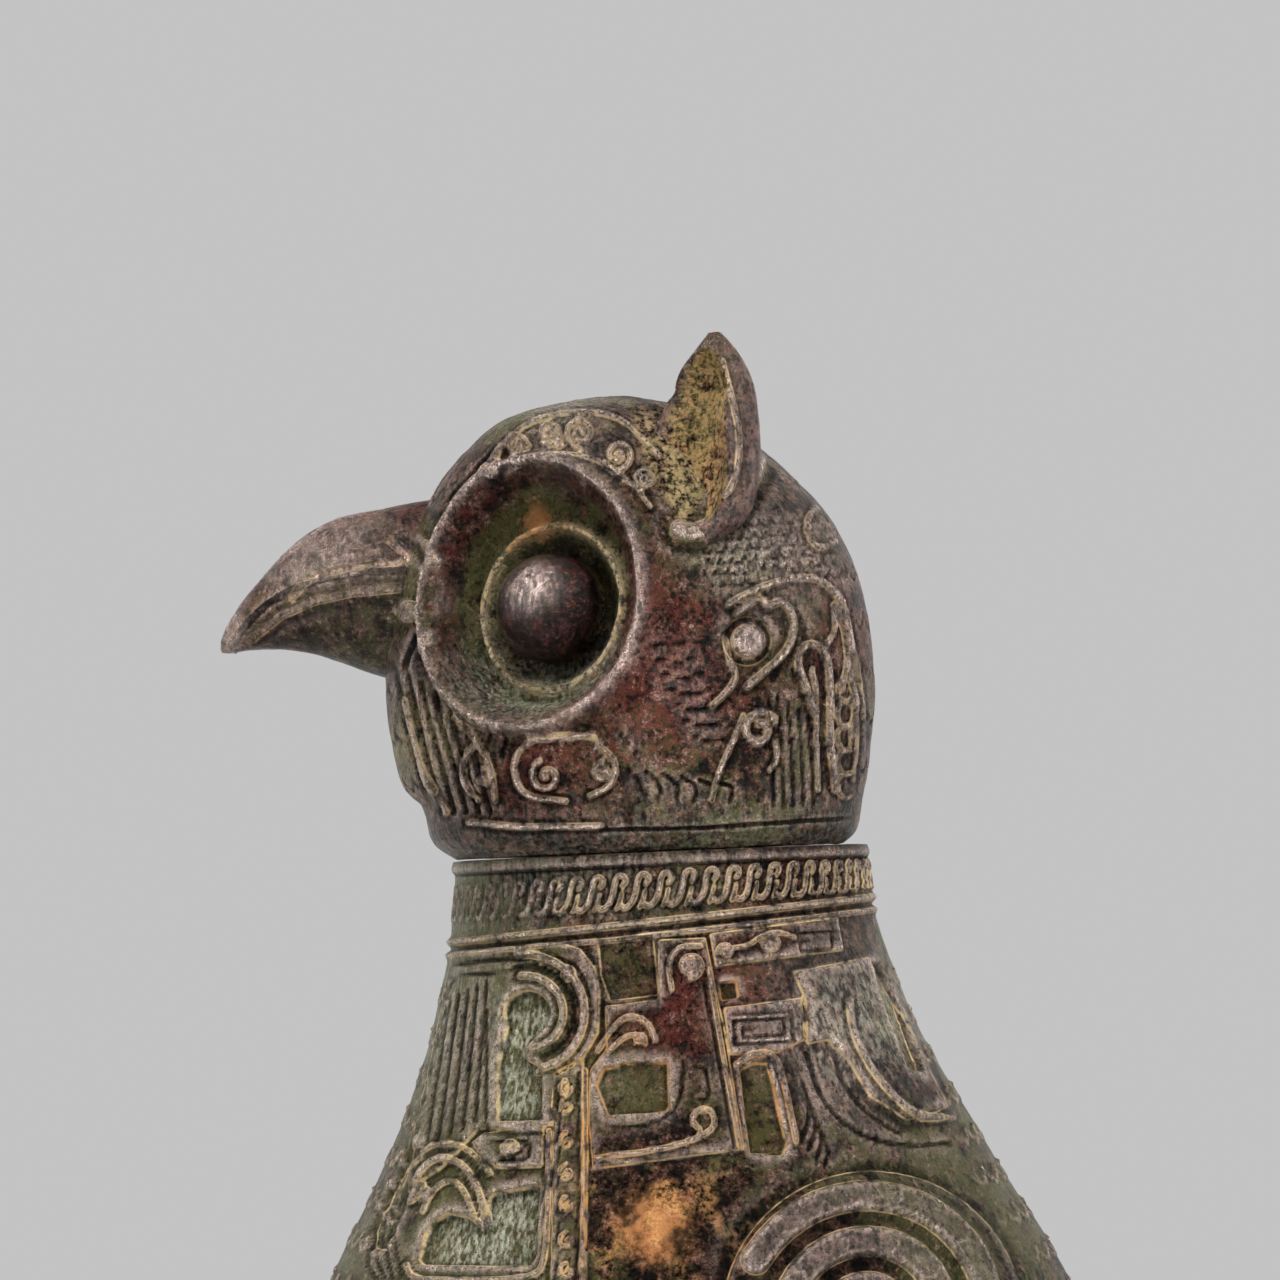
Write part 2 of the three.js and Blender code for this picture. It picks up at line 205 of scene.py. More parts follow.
class Relief:
    """Strokes over points of one plane: heights, earth stains, painted shade and the outlines of the
    strokes.

    The outline layers hold the distance in from the nearest edge, below zero outside it: of
    raised threads (thread), grooves (cut), raised panels (brim) and sunk panels (pit).
    """

    def __init__(self, u, v):
        self.u, self.v = u.ravel(), v.ravel()
        self.shape = u.shape
        self.h, self.earth, self.dark, self.plain = (np.zeros(u.size) for _ in SOFT_LAYERS)
        self.thread, self.cut, self.brim, self.pit = (np.full(u.size, -FAR) for _ in LINES)

    def near(self, pts, reach):
        low, high = pts.min(0) - reach, pts.max(0) + reach
        return np.nonzero((self.u > low[0]) & (self.u < high[0])
                          & (self.v > low[1]) & (self.v < high[1]))[0]

    def gap(self, pts, where, closed=False):
        """Distance from the points to a line."""
        p = np.stack([self.u[where], self.v[where]], 1)
        best = np.full(len(p), 1e9)
        line = np.vstack([pts, pts[:1]]) if closed else pts
        for a, b in zip(line[:-1], line[1:]):
            d = b - a
            t = np.clip(((p - a) @ d) / max(d @ d, 1e-9), 0, 1)
            best = np.minimum(best, ((p - a - t[:, None] * d) ** 2).sum(1))
        return np.sqrt(best)

    def inset(self, pts, where):
        """Distance from a closed line of the points inside it, below zero for those outside."""
        x, y = self.u[where], self.v[where]
        inside = np.zeros(len(where), bool)
        for a, b in zip(pts, np.roll(pts, -1, 0)):
            crosses = (a[1] > y) != (b[1] > y)
            slope = (b[0] - a[0]) * (y - a[1]) / (b[1] - a[1] + 1e-12) + a[0]
            inside ^= crosses & (x < slope)
        d = self.gap(pts, where, True)
        return np.where(inside, d, -d)

    def mark(self, layer, where, values):
        layer[where] = np.maximum(layer[where], values)

    def groove(self, pts, width=1.0, depth=0.5, earth=0.5, closed=False):
        """A cut with painted shade in it and a thin cream lip on either side."""
        where = self.near(pts, 1.4 * width)
        if len(where):
            d = self.gap(pts, where, closed)
            g = 1 - smoothstep(0.15 * width, 0.62 * width, d)
            lip = np.exp(-((d - 0.8 * width) / (0.24 * width)) ** 2)
            self.h[where] -= depth * g
            self.mark(self.dark, where, g)
            self.mark(self.plain, where, g)
            self.mark(self.earth, where, FAINT * earth * lip)
            self.mark(self.cut, where, 0.38 * width - d)

    def ridge(self, pts, width=1.6, height=0.6, earth=0.7, closed=False):
        """A raised thread, pale on its crest, with painted shade along its feet."""
        where = self.near(pts, 1.7 * width)
        if len(where):
            d = self.gap(pts, where, closed)
            foot = np.exp(-((d - 0.85 * width) / (0.27 * width)) ** 2)
            crest = np.exp(-(d / (0.34 * width)) ** 2)
            self.h[where] += height * (1 - smoothstep(0.2 * width, 0.62 * width, d))
            self.h[where] -= 0.35 * height * foot
            self.mark(self.dark, where, 0.9 * foot)
            self.mark(self.earth, where, FAINT * earth * crest)
            self.mark(self.plain, where, 1 - smoothstep(1.0 * width, 1.4 * width, d))
            self.mark(self.thread, where, 0.48 * width - d)

    def field(self, pts, height, bevel=0.8, earth=0.7):
        """A raised or sunk flat area inside a closed line: cream upper edge, painted shade at its foot."""
        where = self.near(pts, 3 * bevel)
        if not len(where):
            return
        signed = self.inset(pts, where)
        up = math.copysign(1, height)
        edge = np.exp(-((signed - up * 0.75 * bevel) / (0.36 * bevel)) ** 2)
        foot = np.exp(-((signed + up * 0.65 * bevel) / (0.42 * bevel)) ** 2)
        self.h[where] += height * smoothstep(-bevel / 2, bevel / 2, signed)
        self.mark(self.earth, where, FAINT * earth * edge)
        self.mark(self.dark, where, 0.9 * foot)
        self.mark(self.brim if height > 0 else self.pit, where, signed)
        if height < 0:
            self.mark(self.plain, where, smoothstep(-bevel, 0, signed))

    def wash(self, pts, soft, amount, sink=0.0):
        """Earth that fills a closed line, fading over its edge, in a dent of the given depth."""
        where = self.near(pts, soft)
        if len(where):
            fill = smoothstep(-soft, soft, self.inset(pts, where))
            self.h[where] -= sink * fill
            self.mark(self.earth, where, amount * fill)

    def layers(self):
        return {key: getattr(self, key).reshape(self.shape) for key in SOFT_LAYERS + LINES}


def faded(layers, w):
    """The layers as they are where w is 1, and nothing of them where it is 0."""
    return {key: layers[key] * w if key in SOFT_LAYERS else layers[key] - 2 * FAR * (1 - w)
            for key in layers}


def merged(a, b):
    """Two sets of layers as one: heights add up, and the rest keeps its larger value."""
    return {key: a[key] + b[key] if key == "h" else np.maximum(a[key], b[key]) for key in a}


def all_layers(look, **tints):
    """Every layer that the materials read, in range: what was drawn, and the tints given."""
    made = {key: np.clip(look[key], 0, 1) for key in ("earth", "dark")}
    made.update({key: np.clip(look[key], -FAR, FAR) for key in LINES})
    made.update({key: np.clip(tints.get(key, 0) + 0 * look["h"], 0, 1) for key in TINTS})
    return made


def lined(outer, rings, inside_first=False, **inside):
    """The layers of an outer skin, carried on plainly over the rings inside it."""
    made = {}
    for key, values in outer.items():
        value = inside.get(key, -FAR if key in LINES else 0.0)
        plain = np.full((rings, values.shape[1]), value)
        made[key] = np.concatenate([plain, values] if inside_first else [values, plain])
    return made


def spiral(centre, radius, turns, start=0.0, hand=1, inner=0.12, n=None):
    """Points of a spiral from its rim inwards, in the plane's millimetres."""
    n = n or int(14 * turns) + 4
    t = np.linspace(0, 1, n)
    r = radius * (1 - (1 - inner) * t)
    a = math.radians(start) + hand * 2 * math.pi * turns * t
    return centre + np.stack([r * np.cos(a), r * np.sin(a)], 1)


def arc(centre, radius, start, stop, n=14, squash=1.0):
    a = np.radians(np.linspace(start, stop, n))
    return centre + np.stack([radius * np.cos(a), squash * radius * np.sin(a)], 1)


def square_spiral(corner, width, tall, pitch):
    """A right-angled spiral inwards from one corner, clockwise."""
    x0, z0 = corner
    x1, z1 = x0 + width, z0 - tall
    pts = [(x0, z0)]
    while x1 - x0 > pitch and z0 - z1 > pitch:
        pts += [(x1, z0), (x1, z1), (x0, z1), (x0, z0 - pitch)]
        x0, x1, z0, z1 = x0 + pitch, x1 - pitch, z0 - pitch, z1 + pitch
        pts += [(x0, z0)]
    return np.array(pts)


def soften(pts, rounds=2):
    """Rounds the corners of an open line."""
    for _ in range(rounds):
        a, b = pts[:-1], pts[1:]
        mid = np.stack([0.75 * a + 0.25 * b, 0.25 * a + 0.75 * b], 1).reshape(-1, 2)
        pts = np.vstack([pts[:1], mid, pts[-1:]])
    return pts


def line(*pixels):
    """A softened line through places of the photograph."""
    return soften(at(*pixels))


def head_pattern(r):
    """Scrolls, scales and feather lines of the head's flank."""
    # crown band
    for x, y, size, hand, start in ((492, 466, 10, 1, 200), (519, 445, 12, -1, 250),
                                    (549, 432, 13, 1, 230), (581, 432, 16, -1, 260),
                                    (618, 454, 17, 1, 200), (646, 478, 12, -1, 250)):
        r.ridge(spiral(at(x, y)[0], size * PX, 1.7, start, hand), 1.05, 0.6, 0.8)
    r.ridge(line(468, 492, 486, 464, 516, 428, 556, 412, 600, 411, 632, 424, 660, 452), 1.2, 0.6)
    r.ridge(line(492, 484, 520, 462, 556, 452, 592, 456, 626, 478, 650, 506), 1.0, 0.45)
    r.ridge(line(556, 446, 566, 440, 566, 428, 588, 414), 0.9, 0.4)
    r.groove(line(446, 500, 470, 474, 500, 440, 530, 418), 0.9, 0.35)
    # rows of small scales behind the ear
    for row in range(6):
        for k in range(11):
            x, y = 706 + 12 * k + 6 * (row % 2) + row, 524 + 11.5 * row - 1.1 * k
            r.groove(arc(at(x, y)[0], 1.25, 180, 360, 7), 0.6, 0.3, 0.35)
    # rear cheek
    r.ridge(line(730, 604, 737, 599, 761, 587, 790, 578, 814, 577, 834, 589, 846, 611, 850, 650),
            1.5, 0.8)
    boss = at(748, 641)[0]
    r.field(arc(boss, 5.2, 0, 345, 24), -0.9, 0.9, 0.4)
    r.field(arc(boss, 3.6, 0, 345, 20), 2.6, 2.2, 0.2)
    r.ridge(line(738, 612, 750, 602, 761, 598, 768, 607, 781, 600, 793, 612, 794, 635, 784, 654,
                 764, 672, 747, 686), 1.6, 0.95)
    r.ridge(line(725, 638, 730, 662, 738, 676, 726, 693, 712, 706), 1.3, 0.6)
    r.ridge(spiral(at(760, 730)[0], 19 * PX, 1.2, 30, 1, 0.3), 1.5, 0.85)
    r.ridge(line(744, 715, 733, 742, 719, 771, 712, 800), 1.1, 0.5)
    r.ridge(line(776, 742, 778, 758, 770, 770), 1.1, 0.5)
    r.ridge(line(814, 713, 806, 686, 797, 664, 800, 650, 810, 642, 822, 647, 829, 664, 830, 700,
                 830, 747, 835, 790), 1.5, 0.85)
    r.ridge(line(812, 668, 817, 690, 816, 730, 818, 790), 1.0, 0.45)
    r.ridge(line(834, 605, 836, 630, 826, 646), 1.1, 0.5)
    for dx, top, low in ((0, 606, 690), (8, 620, 740), (10, 660, 780), (17, 640, 790)):
        r.ridge(line(838 + dx * 0.9, top, 849 + dx, (top + low) / 2, 843 + dx, low), 1.0, 0.45)
    for k in range(5):
        r.ridge(arc(at(846, 690 + 24 * k)[0], 1.7, 60, 300, 10, 1.5), 0.9, 0.4, 0.6)
    r.ridge(line(836, 541, 819, 550, 808, 536, 807, 520, 815, 506, 827, 510, 832, 524), 1.2, 0.7)
    r.groove(line(798, 612, 806, 628, 803, 650, 794, 668), 1.0, 0.5)
    for k in range(5):
        r.groove(line(768 + 10 * k, 690 + 6 * k, 772 + 10 * k, 745, 774 + 10 * k, 806),
                 0.8, 0.3, 0.3)
    for k in range(7):
        r.groove(line(640 + 9 * k, 640 + 16 * k, 668 + 8 * k, 648 + 16 * k, 690 + 7 * k,
                      640 + 16 * k), 0.9, 0.3, 0.35)
    # scrolls under the eye
    r.ridge(line(596, 738, 560, 733, 528, 738, 514, 757, 514, 780, 528, 797, 566, 801), 1.3, 0.75)
    r.ridge(spiral(at(547, 776)[0], 17 * PX, 1.35, 110, 1), 1.3, 0.7)
    r.ridge(line(474, 744, 462, 760, 464, 784, 478, 800), 1.3, 0.65)
    r.ridge(spiral(at(484, 778)[0], 10 * PX, 1.2, 100, -1), 1.1, 0.55)
    r.ridge(line(452, 716, 478, 742, 492, 768, 496, 800), 1.2, 0.55)
    r.ridge(line(598, 744, 618, 762, 612, 786, 590, 796), 1.3, 0.6)
    r.ridge(spiral(at(604, 772)[0], 11 * PX, 1.2, 90, 1), 1.1, 0.5)
    for x, lean in ((490, -4), (505, -2), (618, 10)):
        r.groove(line(x, 730, x + lean, 742, x + 1.5 * lean, 756), 1.0, 0.45)
    for k in range(6):
        r.groove(line(628 + 18 * k, 768 + 3 * k, 644 + 18 * k, 786, 640 + 18 * k, 802), 0.9, 0.35,
                 0.35)
    r.ridge(at(470, 822, 520, 827, 600, 826), 1.5, 0.6)
    r.groove(at(600, 830, 700, 828, 850, 818), 1.0, 0.3, 0.3)
    # feather lines of the throat
    for k in range(6):
        r.groove(line(394 + 13 * k, 664 + 9 * k, 408 + 12 * k, 735, 430 + 12 * k, 812), 1.3, 0.6)
    # root of the ear, and its cup's floor that runs out on the crown
    r.ridge(line(764, 436, 753, 478, 729, 512, 700, 534, 680, 529), 4.2, 1.3, 0.0)
    r.wash(at(632, 408, 686, 402, 730, 436, 710, 483, 686, 527, 664, 498, 649, 466, 635, 436),
           1.6, 0.55, 1.0)
    # seam and knob at the mouth's corner
    r.groove(line(402, 540, 420, 553, 428, 580, 427, 606, 412, 642, 404, 668), 1.6, 0.8, 0.5)
    r.ridge(line(410, 532, 432, 548, 441, 580, 439, 610, 424, 650), 2.0, 0.7, 0.6)
    r.field(arc(at(408, 611)[0], 2.4, 0, 345, 16), 0.9, 1.2, 0.5)
    r.ridge(line(404, 700, 420, 770, 446, 812), 1.6, 0.6)


def body_pattern(r):
    """Dragons, panels and the coiled wing of the body's flank."""
    # head block of the left dragon with its hooked recess
    r.field(at(440, 958, 455, 951, 554, 941, 581, 949, 596, 968, 601, 993, 599, 1033, 585, 1057,
               556, 1072, 553, 1124, 536, 1128, 480, 1128, 462, 1150, 440, 1170, 404, 1190),
            1.0, 0.9)
    r.field(np.vstack([arc(at(529, 1013)[0], 23 * PX, 205, -60, 20),
                       at(528, 1046, 526, 1058, 544, 1068, 543, 1120, 499, 1121, 500, 1060)]),
            -1.7, 0.8, 0.9)
    for size, low in ((37, -80), (58, -85)):
        r.ridge(arc(at(529, 1013)[0], size * PX, 95, low, 16), 1.5, 0.65)
    r.groove(arc(at(529, 1013)[0], 47 * PX, 100, -75, 16), 1.0, 0.5)
    r.ridge(spiral(at(569, 975)[0], 8 * PX, 1.2, 90, -1), 1.0, 0.55)
    r.groove(line(448, 966, 500, 960, 562, 956, 584, 972, 590, 998), 1.0, 0.5)
    r.groove(line(450, 978, 500, 972, 540, 970), 0.8, 0.4)
    for k in range(5):
        r.groove(at(490 - 9 * k, 982 + 4 * k, 484 - 10 * k, 1060, 478 - 12 * k, 1124 + 6 * k),
                 0.9, 0.45)
    r.groove(at(490, 1010, 489, 1132, 546, 1132), 0.9, 0.45)
    # small plaque and lower recess
    r.field(at(474, 1142, 486, 1132, 544, 1125, 544, 1166, 500, 1167, 484, 1156), 0.9, 0.7)
    r.ridge(spiral(at(512, 1149)[0], 9 * PX, 1.5, 0, 1), 1.0, 0.55)
    r.groove(line(494, 1143, 532, 1138, 533, 1160, 502, 1161), 0.8, 0.4)
    r.field(at(418, 1256, 424, 1232, 433, 1218, 447, 1210, 465, 1213, 482, 1226, 490, 1192,
               539, 1182, 537, 1250, 529, 1264, 421, 1261), -1.7, 0.8, 0.9)
    r.ridge(line(408, 1262, 412, 1274, 430, 1278, 530, 1277, 548, 1262, 550, 1130), 1.2, 0.6)
    r.ridge(line(412, 1200, 416, 1181, 440, 1156, 465, 1161, 482, 1191, 486, 1216), 1.3, 0.65)
    r.ridge(line(424, 1210, 431, 1191, 450, 1176, 465, 1186, 476, 1216), 1.1, 0.55)
    r.ridge(line(400, 1186, 410, 1164, 440, 1142, 470, 1146, 492, 1172), 1.1, 0.5)
    r.ridge(spiral(at(426, 1191)[0], 9 * PX, 1.5, 90, 1), 1.0, 0.6)
    for k in range(4):
        r.groove(line(396 - 7 * k, 1200 + 8 * k, 394 - 9 * k, 1240 + 8 * k, 402 - 8 * k, 1276), 0.9,
                 0.45)
    # hooked feathers of the chest edge
    for k in range(8):
        x, y = 432 - 7 * k, 990 + 29 * k
        r.ridge(line(x + 14, y - 16, x, y, x - 3, y + 14, x + 6, y + 26), 1.3, 0.55)
        r.groove(line(x + 26, y - 10, x + 16, y + 6, x + 16, y + 26), 0.9, 0.4)
    r.field(at(413, 1144, 426, 1146, 423, 1168, 386, 1247, 371, 1246, 370, 1226), -1.2, 0.8, 0.8)
    # upright strip
    r.field(at(555, 1078, 584, 1060, 587, 1280, 582, 1330, 552, 1330), 0.8, 0.7)
    r.ridge(at(586, 1070, 586, 1180, 582, 1330), 1.1, 0.65)
    r.groove(at(561, 1080, 560, 1200, 556, 1330), 0.7, 0.35)
    r.groove(at(579, 1072, 580, 1200, 576, 1330), 0.7, 0.35)
    for y in (1089, 1106, 1141, 1173, 1205, 1240, 1270):
        r.ridge(spiral(at(569, y)[0], 1.9, 1.2, 90, 1), 0.7, 0.45)
    # sunk ground between the blocks, with painted shade inside its edge
    r.field(at(597, 931, 653, 934, 659, 994, 610, 999, 601, 975), -0.9, 0.8, 0.8)
    # middle panel, its boss and its recess
    r.field(at(659, 940, 705, 938, 724, 1030, 744, 1148, 594, 1168, 590, 1120, 591, 1070,
               608, 1048, 606, 1006, 659, 1000), 0.8, 0.9)
    r.ridge(spiral(at(690, 966)[0], 12.5 * PX, 1.8, 270, 1), 1.2, 0.75)
    r.ridge(line(672, 990, 668, 960, 680, 946, 700, 946), 1.0, 0.4)
    r.field(at(604, 1068, 628, 1062, 668, 1062, 669, 1109, 609, 1115, 597, 1084), -1.8, 0.8, 1.0)
    r.ridge(line(598, 1050, 613, 1029, 628, 1015, 648, 1021, 656, 1040), 1.1, 0.5)
    r.ridge(line(610, 1052, 626, 1036, 642, 1034, 646, 1044), 1.0, 0.45)
    r.ridge(spiral(at(640, 1040)[0], 6 * PX, 1.1, 0, 1), 0.8, 0.4)
    for dx in (0, 8):
        r.groove(line(704 + dx, 985, 716 + dx, 1050, 733 + dx * 0.6, 1144), 0.8, 0.5)
    r.ridge(line(709, 970, 720, 1040, 739, 1146), 1.0, 0.4)
    r.ridge(line(596, 1158, 660, 1150, 700, 1138, 716, 1126, 712, 1111, 700, 1108, 690, 1120,
                 700, 1130), 1.1, 0.5)
    r.groove(line(600, 1130, 650, 1126, 680, 1108, 684, 1060), 0.9, 0.35)
    r.groove(line(696, 1066, 706, 1068, 710, 1100, 698, 1100), 0.9, 0.45)
    # strip under the collar
    r.field(at(710, 934, 836, 918, 842, 950, 716, 966), 0.8, 0.7)
    r.ridge(spiral(at(725, 952)[0], 8 * PX, 1.3, 180, -1), 1.0, 0.55)
    r.ridge(spiral(at(770, 943)[0], 9 * PX, 1.4, 180, 1), 1.0, 0.55)
    r.ridge(line(733, 948, 748, 946, 760, 936, 776, 932, 792, 938), 0.9, 0.45)
    r.groove(square_spiral(at(798, 934)[0], 6.6, 3.4, 1.4), 0.7, 0.5)
    r.field(at(720, 981, 737, 980, 739, 997, 722, 999), -1.2, 0.6, 1.0)
    # right dragon: square spiral, slots and smooth shoulder
    r.field(at(724, 1008, 800, 998, 803, 1040, 776, 1052, 730, 1054), 0.8, 0.7)
    r.groove(square_spiral(at(733, 1013)[0], 12, 6.6, 1.7), 0.8, 0.55)
    r.field(at(740, 1067, 757, 1060, 769, 1062, 787, 1141, 783, 1152, 750, 1150), -1.7, 0.8, 1.0)
    r.ridge(line(736, 1064, 752, 1052, 776, 1054, 784, 1080, 796, 1140), 1.2, 0.55)
    r.field(at(792, 972, 866, 958, 905, 1010, 934, 1078, 948, 1108, 905, 1120, 868, 1096,
               846, 1060, 826, 1040, 806, 1044, 804, 1000), 1.2, 1.8, 0.5)
    r.field(at(868, 962, 880, 963, 900, 1010, 917, 1062, 920, 1072, 905, 1069, 894, 1040,
               880, 1004), -1.8, 0.8, 0.9)
    r.ridge(line(845, 1002, 848, 1030, 861, 1062, 885, 1094, 912, 1118, 952, 1116), 1.5, 0.7)
    r.groove(line(832, 1046, 842, 1082, 866, 1112, 900, 1132), 1.1, 0.55)
    r.groove(line(806, 1052, 818, 1092, 846, 1126, 890, 1144, 950, 1142), 1.1, 0.6)
    r.ridge(line(895, 945, 925, 1010, 950, 1070, 975, 1125), 1.3, 0.5)
    r.groove(line(886, 940, 912, 992, 940, 1060, 962, 1110), 0.9, 0.4)
    for k in range(4):
        r.groove(line(802 + 5 * k, 1080 + 14 * k, 812 + 6 * k, 1112 + 12 * k,
                      800 + 8 * k, 1140 + 8 * k), 0.9, 0.4)


def wing_pattern(r):
    """The coiled serpent of the wing and its trailing feathers."""
    middle = np.array([40.0, 101.0])
    r.field(arc(middle, 31.5, 0, 355, 60), 0.9, 1.6, 0.5)
    coil = spiral(middle, 27.5, 2.5, 150, -1, 0.14, 100)
    r.ridge(coil, 6.6, 1.3, 0.0)
    for sideways in (-2.3, 2.3):
        step = np.gradient(coil, axis=0)
        across = np.stack([-step[:, 1], step[:, 0]], 1) / np.linalg.norm(step, axis=1)[:, None]
        r.ridge((coil + sideways * across)[:92], 0.9, 0.4, 0.8)
    for k in range(4, 88, 4):
        step = coil[k + 1] - coil[k - 1]
        across = np.array([-step[1], step[0]]) / np.linalg.norm(step)
        along = step / np.linalg.norm(step)
        r.ridge(np.stack([coil[k] - 1.5 * across, coil[k] + 0.9 * along, coil[k] + 1.5 * across]),
                0.8, 0.35, 0.6)
    for k in range(3):
        low = 76 - 9 * k
        r.ridge(soften(np.array([[14 - 4 * k, 92 - 9 * k], [34, low - 4], [58, low],
                                 [76 - 3 * k, low + 8]])), 5.2, 1.0, 0.0)
        r.groove(soften(np.array([[16 - 4 * k, 91 - 9 * k], [34, low - 4], [58, low],
                                  [73 - 3 * k, low + 7]])), 0.9, 0.5)
    for k in range(4):
        r.ridge(spiral(np.array([-40.0 + 13 * k, 84 - 5 * k]), 5.5, 1.7, 90 * k, 1), 1.5, 0.7)
    for k in range(9):
        r.ridge(arc(np.array([-62.0 + 9.5 * k, 66 - 1.0 * k]), 4.2, 180, 360, 10), 1.2, 0.55)


def plain_front(r):
    """Scale rows of the breast and of the back, in the plane across the owl."""
    for row in range(13):
        for k in range(-6, 7):
            x = 8.6 * (k + 0.5 * (row % 2))
            r.ridge(arc(np.array([x, 176 - 8.2 * row]), 4.4, 200, 340, 9), 1.1, 0.5, 0.6)
            r.groove(arc(np.array([x, 176 - 8.2 * row]), 2.4, 205, 335, 6), 0.8, 0.35)


def flank_layers(points, normals, drawn):
    """What the patterns draw on both flanks, fading towards the front and the back."""
    side = Relief(*as_seen(points))
    for draw in drawn:
        draw(side)
    return faded(side.layers(), smoothstep(0.10, 0.45, np.abs(normals[..., 0])))


def roughen(grid, amount, seed):
    """Small uneven swells of a cast and buried surface."""
    rng = np.random.default_rng(seed)
    total = np.zeros(grid.shape[:2])
    for size, share in ((16.0, 1.0), (7.0, 0.6), (3.2, 0.35)):
        for _ in range(5):
            d = rng.normal(size=3)
            d /= np.linalg.norm(d)
            e = np.cross(d, rng.normal(size=3))
            e /= np.linalg.norm(e)
            phase = rng.uniform(0, 6.28, 2)
            total += share * np.sin(grid @ d * 6.28 / size + phase[0]) * np.sin(
                grid @ e * 6.28 / (size * 1.3) + phase[1])
    return amount * total / 3


def worn_edges(h):
    """Where the relief stands above what lies round it: the crests, which get rubbing and a painted
    highlight.
    """
    around = h.copy()
    for _ in range(6):
        around = (np.roll(around, 1, 1) + np.roll(around, -1, 1) + around * 2) / 4
        around[1:-1] = (around[:-2] + around[2:] + 2 * around[1:-1]) / 4
    return np.clip((h - around) * 3.0, 0, 1)


def blob(y, z, where, size):
    """A soft patch about a side-plane place."""
    return np.exp(-((y - where[0]) ** 2 + (z - where[1]) ** 2) / size ** 2)


# The eye: a rim round an oval dish, and a round ring with its cup and pupil set lower

EYE_TURN, EYE_TILT = math.radians(34), math.radians(8)
EYE_MIDDLE = np.array([38.0, -22.5, 254.1])
EYE_RIM, EYE_OVAL = 27.9, 0.87
CUP_ALONG, CUP_DROP = 1.8, 2.4
RING = 16.9                    # radius of the ring's crest
DISH_DEPTH, CUP_DEPTH = 5.2, 5.6
EYE_BACK = 8.2                 # depth of the wall's inner face
PUPIL, PUPIL_TOP = 11.2, 8.6


def eye_axes(side):
    out = np.array([side * math.cos(EYE_TURN) * math.cos(EYE_TILT),
                    -math.sin(EYE_TURN) * math.cos(EYE_TILT), math.sin(EYE_TILT)])
    along = np.array([side * math.sin(EYE_TURN), math.cos(EYE_TURN), 0.0])
    up = np.cross(out, along) * side
    middle = EYE_MIDDLE * np.array([side, 1, 1])
    return middle, out, along, up


def eye_form(grid, side, inner=False):
    """Shapes the skin into rim, dish, ring and cup, and says where they are."""
    middle, out, along, up = eye_axes(side)
    q = grid - middle
    high = q @ out
    a, b = q @ along, q @ up
    r = np.hypot(a / EYE_OVAL, b)
    cup = np.hypot(a - CUP_ALONG, b + CUP_DROP)
    facing = high > -14
    if inner:
        w = (1 - smoothstep(27, 35, r)) * facing
        deep = np.minimum(high, -EYE_BACK)
        return grid + ((deep - high) * w)[..., None] * out, None
    bowl = 1.7 * smoothstep(24, 17, r) - DISH_DEPTH
    bowl += 2.5 * np.exp(-((cup - RING) / 1.0) ** 2)
    bowl += (DISH_DEPTH - 1.7 - CUP_DEPTH) * (1 - smoothstep(13.2, 15.8, cup))
    w = (1 - smoothstep(20.0, EYE_RIM - 0.7, r)) * facing
    rim = 2.4 * np.exp(-((r - EYE_RIM) / 1.25) ** 2)
    rim -= 1.1 * np.exp(-((r - EYE_RIM - 3.0) / 1.2) ** 2)
    new = w * bowl + (1 - w) * (high + rim * facing)
    marks = {
        "dish": (1 - smoothstep(EYE_RIM - 3, EYE_RIM - 1, r)) * facing,
        "wall": np.exp(-((r - EYE_RIM + 3.2) / 1.8) ** 2) * facing,
        "cup": (1 - smoothstep(14, 16, cup)) * facing,
        "ringed": np.exp(-((cup - RING) / 0.9) ** 2) * facing,
        "rim": np.exp(-((r - EYE_RIM) / 0.95) ** 2) * facing,
        "low": smoothstep(4, 22, -b) * facing,
        "line": np.where(facing, 0.75 - np.abs(cup - RING), -FAR),
    }
    return grid + ((new - high) * (r < 36))[..., None] * out, marks


# Materials

def link(tree, a, b):
    tree.links.new(a, b)


